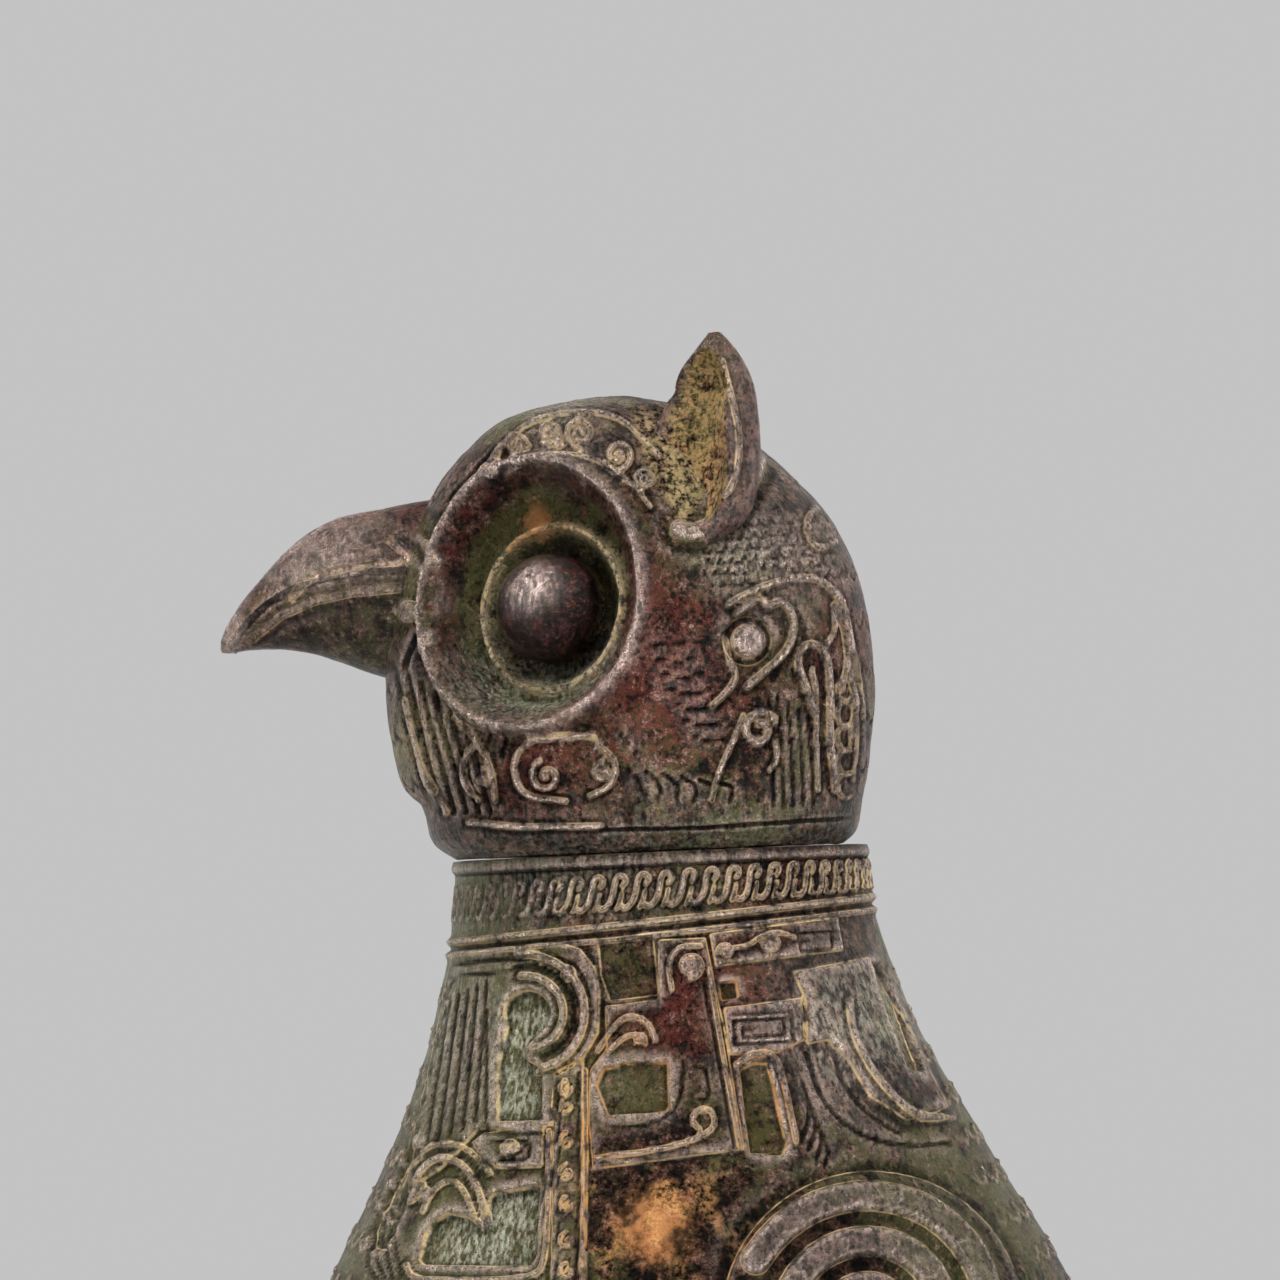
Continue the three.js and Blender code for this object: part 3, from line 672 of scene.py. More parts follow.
class Nodes:
    """A short way to write a material's nodes."""

    def __init__(self, material):
        material.use_nodes = True
        self.tree = material.node_tree
        self.shader = self.tree.nodes["Principled BSDF"]
        self.place = self.add("ShaderNodeTexCoord").outputs["Object"]

    def add(self, kind, **values):
        node = self.tree.nodes.new(kind)
        for key, value in values.items():
            setattr(node, key, value)
        return node

    def noise(self, scale, detail=5.0, rough=0.6, offset=0.0, tall=1.0):
        """Noise of the scale per metre, moved by the offset and drawn out in height."""
        place = self.add("ShaderNodeVectorMath", operation="MULTIPLY_ADD")
        place.inputs[1].default_value = (1.0, 1.0, 1.0 / tall)
        place.inputs[2].default_value = (offset, 0.7 * offset, -offset)
        link(self.tree, self.place, place.inputs[0])
        node = self.add("ShaderNodeTexNoise")
        node.inputs["Scale"].default_value = scale
        node.inputs["Detail"].default_value = detail
        node.inputs["Roughness"].default_value = rough
        link(self.tree, place.outputs[0], node.inputs["Vector"])
        return node.outputs["Fac"]

    def layer(self, name):
        return self.add("ShaderNodeAttribute", attribute_name=name).outputs["Fac"]

    def math(self, operation, a, b=0.0, clamp=False, c=0.0):
        node = self.add("ShaderNodeMath", operation=operation, use_clamp=clamp)
        for socket, value in zip(node.inputs, (a, b, c)):
            if isinstance(value, (int, float)):
                socket.default_value = value
            else:
                link(self.tree, value, socket)
        return node.outputs[0]

    def total(self, *terms):
        """The sum of sockets times their shares, given as pairs."""
        result = 0.0
        for value, share in terms:
            result = self.math("ADD", self.math("MULTIPLY", value, share), result)
        return result

    def ramp(self, value, low, high):
        node = self.add("ShaderNodeMapRange", interpolation_type="SMOOTHSTEP")
        node.inputs["From Min"].default_value = low
        node.inputs["From Max"].default_value = high
        link(self.tree, value, node.inputs["Value"])
        return node.outputs["Result"]

    def outline(self, layer, half):
        """A thin line where a layer passes through zero."""
        return self.ramp(self.math("ABSOLUTE", layer), half, 0.4 * half)

    def mix(self, share, a, b):
        node = self.add("ShaderNodeMix", data_type="RGBA")
        for socket, value in ((node.inputs[0], share), (node.inputs[6], a), (node.inputs[7], b)):
            if isinstance(value, tuple):
                socket.default_value = (*value, 1.0)
            elif isinstance(value, (int, float)):
                socket.default_value = value
            else:
                link(self.tree, value, socket)
        return node.outputs[2]

    def bump(self, height, strength, distance):
        node = self.add("ShaderNodeBump")
        node.inputs["Strength"].default_value = strength
        node.inputs["Distance"].default_value = distance
        link(self.tree, height, node.inputs["Height"])
        link(self.tree, node.outputs["Normal"], self.shader.inputs["Normal"])


BLACK = (0.003, 0.002, 0.002)
DARK = (0.008, 0.006, 0.005)
BROWN = (0.180, 0.078, 0.048)
OLIVE = (0.160, 0.160, 0.062)
GREEN = (0.045, 0.125, 0.065)
MAROON = (0.180, 0.034, 0.028)
OCHRE = (0.880, 0.660, 0.340)
ORANGE = (0.920, 0.470, 0.150)
RUST = (0.680, 0.290, 0.100)
SILVERY_TONE_AND_SHEEN = (0.720, 0.740, 0.580)
PALE_WEAR_AND_HIGHLIGHT = (0.930, 0.740, 0.660)


def key_pattern(n, cell, pitch):
    """A wave over small squared spirals that lie round the object's axis."""
    split = n.add("ShaderNodeSeparateXYZ")
    link(n.tree, n.place, split.inputs[0])
    flat = n.add("ShaderNodeCombineXYZ")
    turn = n.math("ARCTAN2", split.outputs[0], n.math("ADD", split.outputs[1], 0.0065))
    link(n.tree, n.math("MULTIPLY", turn, 0.055), flat.inputs[0])
    link(n.tree, split.outputs[2], flat.inputs[1])
    cells = n.add("ShaderNodeTexVoronoi", voronoi_dimensions="2D")
    cells.inputs["Scale"].default_value = 1 / cell
    cells.inputs["Randomness"].default_value = 0.55
    link(n.tree, flat.outputs[0], cells.inputs["Vector"])
    apart = n.add("ShaderNodeVectorMath", operation="SUBTRACT")
    link(n.tree, flat.outputs[0], apart.inputs[0])
    link(n.tree, cells.outputs["Position"], apart.inputs[1])
    place = n.add("ShaderNodeSeparateXYZ")
    link(n.tree, apart.outputs[0], place.inputs[0])
    x, y = place.outputs[0], place.outputs[1]
    reach = n.math("MAXIMUM", n.math("ABSOLUTE", x), n.math("ABSOLUTE", y))
    phase = n.math("ADD", n.math("MULTIPLY", reach, 2 * math.pi / pitch), n.math("ARCTAN2", y, x))
    return n.math("SINE", phase)


def bronze(name, seed, wear_and_glint=0.5, shine=0.40, dusty=0.20, lining=0.9, grainy=1.0, ground=BROWN, patches=OLIVE,
           drawn=True):
    """Old bronze: a skin mottled with near black, green and red patches, earth along the relief, painted
    glints, a pale silvery tone partly painted as reflection, rubbed crests with a painted highlight, and
    painted shade in the cuts and at the feet of the relief.
    """
    material = bpy.data.materials.new(name)
    n = Nodes(material)
    broad = n.noise(38, 5, 0.6, seed + 1.3)
    middle = n.noise(230, 6, 0.68, seed + 4.1)
    fine = n.noise(950, 5, 0.7, seed + 7.7)
    grain = n.noise(2400, 3, 0.65, seed + 2.2)
    spots = n.noise(280, 5, 0.7, seed + 9.4)
    streaks = n.noise(1100, 4, 0.6, seed + 5.5, 6.0)
    mottle = n.total((middle, 0.55), (fine, 0.45))
    # skin and its patches
    colour = n.mix(n.ramp(mottle, 0.45, 0.60), DARK, ground)
    green = n.total((broad, 0.5), (spots, 0.5), (n.layer("green"), 0.10))
    colour = n.mix(n.math("MULTIPLY", n.ramp(green, 0.50, 0.60), 0.8), colour, patches)
    red = n.total((spots, 0.5), (fine, 0.5), (n.layer("red"), 0.10))
    colour = n.mix(n.math("MULTIPLY", n.ramp(red, 0.54, 0.64), 0.8), colour, MAROON)
    # a pale silvery green: partly tone, partly painted reflection
    silvery_tone_and_sheen_share = n.math("MULTIPLY", n.layer("grey"), n.ramp(
        n.total((streaks, 0.7), (mottle, 0.3)), 0.42, 0.60))
    colour = n.mix(silvery_tone_and_sheen_share, colour, SILVERY_TONE_AND_SHEEN)
    stained = n.layer("rust")
    rusty = n.ramp(n.total((stained, 0.5), (mottle, 0.5)), 0.56, 0.74)
    colour = n.mix(rusty, colour, RUST)
    colour = n.mix(n.math("MULTIPLY", n.ramp(fine, 0.57, 0.70), 0.4), colour, GREEN)
    # painted glints: small pale specks over the skin
    painted_glints = n.ramp(n.total((grain, 0.35), (fine, 0.30), (middle, 0.35)), 0.53, 0.64)
    colour = n.mix(n.math("MULTIPLY", painted_glints, 0.55 * wear_and_glint * grainy), colour, PALE_WEAR_AND_HIGHLIGHT)
    height = n.total((fine, 0.9 * grainy), (grain, 0.5 * grainy), (middle, 1.3 * grainy),
                     (silvery_tone_and_sheen_share, 0.15))
    dust = n.math("MULTIPLY", n.ramp(n.total((fine, 1.0), (broad, 0.4)), 0.78, 0.92), dusty)
    earth = n.math("MULTIPLY", n.layer("earth"), n.ramp(
        n.total((fine, 1.0), (spots, 0.6)), 0.68, 0.92), True)
    worn = n.layer("worn")
    if drawn:
        keys = n.math("MULTIPLY", key_pattern(n, 0.0068, 0.0015), n.layer("ground"))
        keys = n.math("MULTIPLY", keys, n.ramp(broad, 0.34, 0.52))
        colour = n.mix(n.math("MULTIPLY", n.ramp(keys, 0.1, -0.7), 0.75), colour, BLACK)
        thread, cut, brim, pit = (n.layer(key) for key in LINES)
        crest = n.ramp(thread, -0.20, 0.25)
        slit = n.ramp(cut, -0.20, 0.20)
        panel = n.ramp(brim, -0.25, 0.25)
        sunk = n.ramp(pit, -0.25, 0.25)
        # painted shade, near black, in the cuts and along the feet of the relief, broken up by noise
        foot = n.math("MAXIMUM", n.math("MULTIPLY", n.layer("dark"), n.ramp(mottle, 0.74, 0.46)),
                      n.math("MULTIPLY", slit, 0.9))
        colour = n.mix(n.math("MULTIPLY", foot, 0.94), colour, BLACK)
        # painted highlight along the crests of the threads
        worn = n.math("MAXIMUM", worn, n.math("MULTIPLY", crest, 0.35))
        rims = n.math("MAXIMUM", n.outline(thread, 0.18), n.math(
            "MAXIMUM", n.outline(brim, 0.24), n.outline(pit, 0.26)))
        rims = n.math("MULTIPLY", rims, n.ramp(n.total((middle, 0.5), (spots, 0.5)), 0.40, 0.54))
        earth = n.math("MAXIMUM", earth, n.math("MULTIPLY", rims, lining))
        height = n.total((height, 1.0), (keys, 0.40), (crest, 0.50), (slit, -0.50),
                         (panel, 0.50), (sunk, -0.50))
    rubbed = n.ramp(n.total((mottle, 0.6), (streaks, 0.4)), 0.42, 0.58)
    worn = n.math("MULTIPLY", worn, n.math("MULTIPLY_ADD", rubbed, 0.7 * wear_and_glint, False, 0.3 * wear_and_glint))
    # pale rubbed metal and painted highlight
    colour = n.mix(worn, colour, PALE_WEAR_AND_HIGHLIGHT)
    earth = n.math("MAXIMUM", earth, dust)
    colour = n.mix(earth, colour, n.mix(n.math("MULTIPLY", stained, 2.0, True), OCHRE, ORANGE))
    link(n.tree, colour, n.shader.inputs["Base Color"])
    rough = n.total((fine, 0.40), (earth, 0.30), (rusty, 0.15), (worn, -0.06))
    rough = n.math("ADD", rough, shine - 0.25, True)
    link(n.tree, rough, n.shader.inputs["Roughness"])
    metal = n.total((worn, 0.20), (earth, -0.60), (rusty, -0.30))
    link(n.tree, n.math("ADD", metal, 0.80, True), n.shader.inputs["Metallic"])
    n.bump(height, 1.0, 1.5 * MM)
    return material


def clay(name):
    """Baked earth of the casting cores."""
    material = bpy.data.materials.new(name)
    n = Nodes(material)
    tone = n.noise(300, 5, 0.6)
    link(n.tree, n.mix(n.ramp(tone, 0.3, 0.7), (0.30, 0.19, 0.10), (0.46, 0.33, 0.20)),
         n.shader.inputs["Base Color"])
    n.shader.inputs["Roughness"].default_value = 0.95
    n.bump(tone, 1.0, 0.5 * MM)
    return material


def dress(ob, material, body, slot, *nodes):
    ob.data.materials.clear()
    ob.data.materials.append(material)
    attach(ob, body)
    if nodes:
        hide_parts(*nodes)
    return ob


def uv_grid(ob, rings, around):
    """A map that lays the rings out side by side, for baking."""
    me = ob.data
    layer = me.uv_layers.new(name="OFBake")
    vi = np.empty(len(me.loops), np.int32)
    me.loops.foreach_get("vertex_index", vi)
    starts = np.empty(len(me.polygons), np.int32)
    totals = np.empty(len(me.polygons), np.int32)
    me.polygons.foreach_get("loop_start", starts)
    me.polygons.foreach_get("loop_total", totals)
    ring = vi // around
    k = (vi % around).astype(float)
    face = np.repeat(np.arange(len(totals)), totals)
    wide = np.zeros(len(totals))
    np.maximum.at(wide, face, np.where(ring < rings, k, 0))
    k = np.where((wide[face] > around * 0.75) & (k < around * 0.25), k + around, k)
    pole = vi >= rings * around
    u = k / around
    v = (ring + 1.0) / (rings + 1.0)
    mean = np.zeros(len(totals))
    np.add.at(mean, face, np.where(pole, 0, u))
    mean = mean / np.maximum(totals - 1, 1)
    u = np.where(pole, mean[face], u)
    v = np.where(pole, np.where(vi == rings * around, 0.0, 1.0), v)
    uv = np.stack([u, v], 1).astype(np.float32)
    layer.uv.foreach_set("vector", uv.ravel())


# Body

COLLAR = 43.2                  # radius of the collar's band
CLIMB = 0.064                  # rise of its lower ridge from the throat to the back


def ridge_height(y):
    """Height of the collar's lower ridge."""
    return 186.9 + CLIMB * y


def collar_band(y, angle, z):
    """Hooked scales that lean round the collar, drawn on its unrolled band."""
    band = Relief(angle * COLLAR, z)
    pitch = 2 * math.pi * COLLAR / 58
    scale = np.array([[1.5, -2.9], [2.3, -2.0], [1.6, -0.8], [0.4, -1.0], [-0.2, -2.4],
                      [-0.5, -4.4], [-1.3, -6.6], [-2.8, -7.8], [-3.6, -7.2]])
    hook = np.array([[1.3, -4.4], [0.9, -6.0], [0.1, -7.6]])
    for k in range(-31, 32):
        rise = CLIMB * COLLAR * math.sin(k * pitch / COLLAR) / 2
        base = np.array([k * pitch, 197.6 + min(rise, 0.8)])
        band.ridge(soften(base + scale), 1.05, 0.75, 0.55)
        band.ridge(soften(base + hook), 0.8, 0.4, 0.4)
    inside = smoothstep(1.2, 2.0, z - ridge_height(y)) * (1 - smoothstep(197.9, 198.5, z))
    rubbed = 0.35 + 0.65 * smoothstep(-34, -16, y)
    return faded(band.layers(), inside * rubbed)


def build_body():
    around = count(460)
    theta = angles(around, 0.30)
    low = np.linspace(0, 5, count(42))[:-1]
    high = np.linspace(5, 11, count(114))[:-1]
    neck = np.linspace(11, 14, count(34))
    grid = ring_grid(sections(BODY, np.concatenate([low, high, neck])), theta)
    normals = grid_normals(grid)
    x, y, z = (grid[..., k] for k in range(3))
    line = ridge_height(y)
    across = Relief(x, z)
    plain_front(across)
    frontal = 1 - smoothstep(0.2, 0.5, np.abs(normals[..., 0]))
    look = merged(flank_layers(grid, normals, (body_pattern, wing_pattern)),
                  faded(across.layers(), 0.6 * frontal))
    look = faded(look, 1 - smoothstep(-2.6, -1.6, z - line))
    ground = (1 - np.clip(look["plain"] + frontal, 0, 1)) * smoothstep(124, 108, z)
    look = merged(look, collar_band(y, np.arctan2(y, x), z))
    # ridges and groove under the collar's band, and its lip, with painted shade in the groove
    crest = np.exp(-((z - line) / 0.75) ** 2)
    gap = np.exp(-((z - line + 1.35) / 0.5) ** 2)
    lip = smoothstep(198.2, 198.8, z)
    look["h"] += 0.9 * crest + 0.7 * np.exp(-((z - line + 2.7) / 0.7) ** 2) - 0.5 * gap
    look["h"] += 0.75 * lip * np.sqrt(np.clip((201.1 - z) / 1.6, 0, 1))
    look["dark"] = np.maximum(look["dark"], gap)
    look["earth"] = np.maximum(look["earth"], 0.3 * crest)
    look["thread"] = np.maximum(look["thread"], 0.7 - np.abs(z - line))
    look["thread"] = np.maximum(look["thread"], 0.5 - np.abs(z - line + 2.7))
    look["cut"] = np.maximum(look["cut"], 0.35 - np.abs(z - 198.1))
    # patches of colour, placed as the camera sees them
    sy, sz = as_seen(grid)
    top = at(600, 1160)[0][1]
    sunk = look["pit"] > 0
    rust = 0.95 * smoothstep(top + 1, top - 5, sz) * blob(sy, sz, at(655, 1225)[0], 17)
    crust = rust.copy()
    for px, py, size in ((640, 1080, 14), (770, 1100, 12), (728, 990, 4), (600, 1140, 9)):
        rust = np.maximum(rust, 0.55 * blob(sy, sz, at(px, py)[0], size))
    red = 0.9 * blob(sy, sz, at(680, 1020)[0], 15) + 0.6 * blob(sy, sz, at(760, 960)[0], 16)
    # silvery tone on the collar's front, and painted reflection on the floors of the sunk recesses, on the
    # smooth right shoulder and on the left block
    grey = 1.5 * sunk * (blob(sy, sz, at(522, 1060)[0], 14) + blob(sy, sz, at(490, 1225)[0], 13))
    grey += 0.25 * smoothstep(183, 190, z) * smoothstep(30, -20, y)
    grey += 0.75 * blob(sy, sz, at(850, 1020)[0], 12) + 0.4 * blob(sy, sz, at(450, 1010)[0], 14)
    green = smoothstep(-12, -34, y) + 0.7 * smoothstep(30, 60, y) + 0.6 * sunk
    lumps = roughen(grid, 1.0, 8)
    look["earth"] = np.maximum(look["earth"], 0.75 * crust * smoothstep(0.05, 0.55, lumps))
    # painted shade in the hollows of the rust crust
    look["dark"] = np.maximum(look["dark"], crust * smoothstep(-0.05, -0.50, lumps))
    # rubbed raised edges, and a painted sheen on the smooth right shoulder
    worn = worn_edges(look["h"]) + 0.30 * blob(sy, sz, at(850, 1020)[0], 16)
    swell = roughen(grid, 0.10, 5) + 0.9 * crust * lumps
    outer = all_layers(look, worn=worn, rust=rust, red=red, grey=grey, green=green, ground=ground)
    grid = grid + normals * (look["h"] + swell)[..., None]
    # rim, bore and chamber
    bore = np.array([(200.95, -41.6, 41.6, 41.6, 2), (200.95, -39.6, 39.6, 39.6, 2),
                     (200.2, -38.2, 38.2, 38.2, 2), (186, -38.2, 38.2, 38.2, 2),
                     (172, -38.6, 38.6, 38.6, 2)], float)
    inner = sections(BODY, np.linspace(10.4, 0, count(24)))
    inner[:, 0] = 49.4 + (inner[:, 0] - 46) * (168 - 49.4) / (inner[0, 0] - 46)
    whole = np.concatenate([grid, ring_grid(bore, theta), ring_grid(inner, theta, -3.4)])
    return whole, lined(outer, len(whole) - len(grid), green=0.7, grey=0.2)


# Head

def build_head():
    around = count(420)
    theta = angles(around, 0.14)
    places = np.concatenate([np.linspace(0, 10, count(152))[:-1], np.linspace(10, 12, count(34))])
    grid = ring_grid(sections(HEAD, places), theta)
    normals = grid_normals(grid)
    x, z = grid[..., 0], grid[..., 2]
    shaped = grid
    marks = {}
    for side in (1, -1):
        shaped, found = eye_form(shaped, side)
        for key in found:
            marks[key] = np.where(x * side > 0, found[key], marks.get(key, 0.0))
    calm = 1 - np.clip(marks["dish"] + marks["rim"], 0, 1)
    nape = Relief(x, z)
    for row in range(7):
        for k in range(-4, 5):
            middle = np.array([8.0 * (k + 0.5 * (row % 2)), 280 - 10 * row])
            nape.groove(arc(middle, 4.2, 200, 340, 9), 0.9, 0.4, 0.6)
    frontal = (1 - smoothstep(0.2, 0.5, np.abs(normals[..., 0]))) * (z < 288)
    look = merged(flank_layers(grid, normals, (head_pattern,)), faded(nape.layers(), frontal))
    look = faded(look, calm)
    look["thread"] = np.maximum(look["thread"], marks["line"])
    look["earth"] = np.maximum(look["earth"], 0.8 * marks["ringed"])
    inside = np.maximum(0, marks["dish"] - marks["rim"])
    sy, sz = as_seen(grid)
    red = 0.9 * blob(sy, sz, at(650, 600)[0], 16) + 0.9 * blob(sy, sz, at(660, 700)[0], 16)
    red += 0.9 * blob(sy, sz, at(540, 770)[0], 14) + 0.9 * blob(sy, sz, at(850, 640)[0], 14)
    red = red * (1 - marks["dish"]) + marks["wall"]
    green = 1.1 * inside * (1 - marks["wall"]) + 0.9 * blob(sy, sz, at(640, 800)[0], 16)
    green += 0.8 * blob(sy, sz, at(430, 760)[0], 12) + 0.5 * smoothstep(284, 293, z)
    rust = 0.9 * blob(sy, sz, at(507, 512)[0], 8) * marks["dish"]
    rust += 0.4 * blob(sy, sz, at(768, 797)[0], 3) + 0.35 * blob(sy, sz, at(690, 690)[0], 5)
    # silvery towards the lower edge; painted light on the dish's lower half, which faces up; painted sheen
    # below the ear's root and on the crown
    grey = 0.2 * smoothstep(216, 203, z) + 0.7 * inside * marks["low"]
    grey += 0.5 * blob(sy, sz, at(745, 550)[0], 9) + 0.3 * blob(sy, sz, at(560, 430)[0], 7)
    look["earth"] = np.maximum(look["earth"], 0.3 * blob(sy, sz, at(425, 740)[0], 8))
    # painted shade in the cup round the pupil and under the rim
    look["dark"] = np.maximum(look["dark"], 0.8 * marks["cup"] + 0.5 * marks["wall"])
    # rubbed raised edges; painted highlight along the rim's crest and on the ring; painted sheen behind the
    # ear and on the crown
    worn = worn_edges(look["h"]) + 1.0 * marks["rim"] + 0.3 * marks["ringed"]
    worn += 0.35 * blob(sy, sz, at(790, 560)[0], 12) + 0.3 * blob(sy, sz, at(570, 420)[0], 10)
    outer = all_layers(look, worn=worn, rust=rust, red=red, grey=grey, green=green)
    skin = shaped + grid_normals(shaped) * (look["h"] + roughen(grid, 0.16, 9))[..., None]
    # the cavity, the floor and the round mouth
    inner = sections(HEAD, np.linspace(12, 0, count(28)))
    inner[:, 0] = 204.3 + (inner[:, 0] - 201.3) * (293.4 - 204.3) / (296.4 - 201.3)
    hollow = ring_grid(inner, theta, -3.0)
    for side in (1, -1):
        hollow, _ = eye_form(hollow, side, True)
    mouth = np.array([(204.3, -34.8, 34.8, 34.8, 2), (201.35, -34.8, 34.8, 34.8, 2),
                      (201.3, -38.0, 36.6, 37.4, 2)], float)
    whole = np.concatenate([hollow, ring_grid(mouth, theta), skin])
    return whole, lined(outer, len(whole) - len(skin), inside_first=True, green=0.6)


def face_front(x, z):
    """How far forward the head's skin lies at a place seen from the front."""
    s = np.array(HEAD, float)
    zz = np.clip(z, s[0, 0], s[-1, 0])
    front, back, half = (np.interp(zz, s[:, 0], s[:, k]) for k in (1, 2, 3))
    wide = np.clip(np.abs(x) / half, 0, 0.999)
    return (front + back) / 2 - (back - front) / 2 * (1 - wide ** 2.35) ** (1 / 2.35)


def build_beak():
    around, rings = count(150), count(110)
    local = ring_grid(sections(BEAK, np.linspace(0, 8, rings)), angles(around))
    grid = np.stack([local[..., 0], -local[..., 2], local[..., 1]], 2)
    normals = -grid_normals(grid)
    y, z = grid[..., 1], grid[..., 2]
    side = Relief(y, z)
    side.groove(np.array([[-87.4, 248.2], [-86.7, 249.4], [-83.6, 252.6], [-79.5, 256.0],
                          [-74.0, 259.0], [-66.0, 261.0], [-58.0, 261.6], [-50.0, 261.4]]),
                1.9, 1.2, 0.9)
    side.ridge(np.array([[-86.0, 246.9], [-82.0, 250.2], [-77.0, 253.6], [-70.0, 256.3],
                         [-62.0, 257.6], [-52.0, 258.0]]), 2.2, 0.7, 0.8)
    side.groove(line(402, 540, 420, 553, 428, 580, 427, 606, 412, 642, 404, 668), 1.5, 0.7, 0.6)
    side.ridge(line(394, 545, 411, 560, 418, 582, 417, 606, 404, 636), 1.7, 0.6, 0.5)
    side.field(arc(at(407, 611)[0], 2.3, 0, 345, 16), 0.9, 1.2, 0.5)
    side.ridge(line(296, 600, 310, 584, 340, 574, 376, 569, 402, 566), 1.6, 0.5, 0.7)
    for k in range(4):
        side.groove(line(330 + 8 * k, 560 - 5 * k, 365 + 5 * k, 552 - 6 * k, 398, 548 - 8 * k),
                    0.8, 0.25, 0.3)
    look = faded(side.layers(), smoothstep(0.15, 0.5, np.abs(normals[..., 0])))
    skin = grid + normals * (look["h"] + roughen(grid, 0.12, 21))[..., None]
    skin[..., 1] = np.minimum(skin[..., 1], face_front(grid[..., 0], z) + 1.2)
    above = smoothstep(256, 262, z)
    # rubbed raised edges, a little all over, a painted highlight above the groove and a paler tip
    worn = worn_edges(look["h"]) + 0.05 + 0.8 * above * blob(y, z, at(330, 560)[0], 14)
    worn += 0.7 * smoothstep(-82, -88, y)
    # painted shade on the lower half of the beak, back from its tip
    look["dark"] = np.maximum(look["dark"], 0.5 * (1 - above) * smoothstep(-84, -76, y))
    red = 1.3 * smoothstep(262, 268, z) + 0.6 * smoothstep(-72, -82, y)
    return skin, all_layers(look, worn=worn, red=red, green=0.2)


def build_ear(side):
    """A cupped leaf: each section is its outline less the round hollow of the cup."""
    around, rings = count(120), count(90)
    rows = sections(EAR, np.linspace(0, 6, rings))
    phi = np.arange(around) * 2 * math.pi / around
    dx, dy = np.cos(phi), np.sin(phi)
    points = []
    cup = np.zeros((rings, around))
    for i, (z, front, back, half, _, mid) in enumerate(rows):
        a, b = half, (back - front) / 2
        cy = (front + back) / 2
        ox, oy = mid - 0.34 * a, cy + 0.38 * b
        ex, ey = ox - mid, oy - cy
        qa = (dx / a) ** 2 + (dy / b) ** 2
        qb = 2 * (ex * dx / a ** 2 + ey * dy / b ** 2)
        qc = (ex / a) ** 2 + (ey / b) ** 2 - 1
        t = (-qb + np.sqrt(np.maximum(qb ** 2 - 4 * qa * qc, 0))) / (2 * qa)
        rise = (z - 284.3) / 19.0
        if abs(rise) < 1:
            rad = 12.2 * math.sqrt(1 - rise ** 2) * min(1.0, a / 8 + 0.15)
            fx, fy = ox - (mid + a), oy - (cy - 7.0 * b / 11)
            hb = fx * dx + fy * dy
            hc = fx ** 2 + fy ** 2 - rad ** 2
            disc = hb ** 2 - hc
            hit = np.where((disc > 0) & (hc > 0), -hb - np.sqrt(np.maximum(disc, 0)), 1e9)
            hit = np.where(hit > 0, hit, 1e9)
            cup[i] = hit < t
            t = np.minimum(t, hit)
        points.append(np.stack([side * (ox + t * dx), oy + t * dy, np.full(around, z)], 1))
    grid = np.array(points)
    for _ in range(3):
        grid = (np.roll(grid, 1, 1) + np.roll(grid, -1, 1) + 4 * grid) / 6
        grid[1:-1] = (grid[:-2] + grid[2:] + 4 * grid[1:-1]) / 6
    normals = grid_normals(grid) * side
    back = Relief(grid[..., 1], grid[..., 2])
    back.ridge(soften(np.array([[17.0, 300.0], [18.4, 293.0], [19.8, 285.2], [19.3, 277.5],
                                [16.4, 271.6], [14.0, 273.6], [15.4, 277.0]])), 1.3, 0.5, 0.6)
    look = faded(back.layers(), smoothstep(0.1, 0.4, normals[..., 0] * side) * (1 - cup))
    skin = grid + normals * (look["h"] + roughen(grid, 0.10, 31))[..., None]
    look["earth"] = np.maximum(look["earth"], 0.55 * cup)
    # rubbed raised edges, and a painted highlight over the ear's outside round its cup
    worn = worn_edges(look["h"]) + 0.35 * (1 - cup)
    return skin, all_layers(look, worn=worn, rust=0.25 * cup, red=0.6 * (1 - cup),
                            green=0.6 * cup)


def build_pupil(side):
    """A ball that stands on a short foot in the cup."""
    middle, out, along, up = eye_axes(side)
    middle = middle + CUP_ALONG * along - CUP_DROP * up
    around, rings = count(80), count(46)
    a = np.linspace(0, math.pi / 2 - 0.02, rings - 6)
    foot, waist = -CUP_DEPTH - 0.8, -1.6
    radius = np.concatenate([[PUPIL / 2], np.full(5, PUPIL), PUPIL * np.cos(a)])
    high = np.concatenate([[foot], np.linspace(foot, waist - 0.2, 5),
                           waist + (PUPIL_TOP - waist) * np.sin(a)])
    phi = np.arange(around) * 2 * math.pi / around
    ring = np.cos(phi)[None, :, None] * along + side * np.sin(phi)[None, :, None] * up
    grid = middle + radius[:, None, None] * ring + high[:, None, None] * out
    grid = grid + roughen(grid, 0.10, 41)[..., None] * out
    look = Relief(*as_seen(grid)).layers()
    low = np.repeat((1 - smoothstep(-5.6, -1.5, high))[:, None], around, 1)
    # earth and painted shade at the pupil's foot, deep in its cup
    look["earth"], look["dark"] = 0.25 * low, 0.8 * low
    # painted highlight on the pupil's upper left
    rubbed = blob(*as_seen(grid), at(526, 585)[0], 4.5)
    return grid, all_layers(look, worn=0.9 * rubbed, red=0.1)


# Legs and tail

def belly_level(x, y):
    """Height of the belly's skin over a place, found by halving."""
    s = np.array(BODY[:6], float)
    low, high = np.full(x.shape, 46.0), np.full(x.shape, 100.0)
    for _ in range(22):
        mid = (low + high) / 2
        front, back, half = (np.interp(mid, s[:, 0], s[:, k]) for k in (1, 2, 3))
        reach = (np.abs(x) / half) ** 2.1 + (np.abs(y - (front + back) / 2)
                                             / ((back - front) / 2)) ** 2.1
        inside = reach < 1
        high = np.where(inside, mid, high)
        low = np.where(inside, low, mid)
    return high


def scaled_ball(centre, size):
    bpy.ops.mesh.primitive_uv_sphere_add(segments=32, ring_count=20)
    ob = bpy.context.object
    for v in ob.data.vertices:
        v.co = Vector([(c + s * k) * MM for c, s, k in zip(centre, size, v.co)])
    return ob


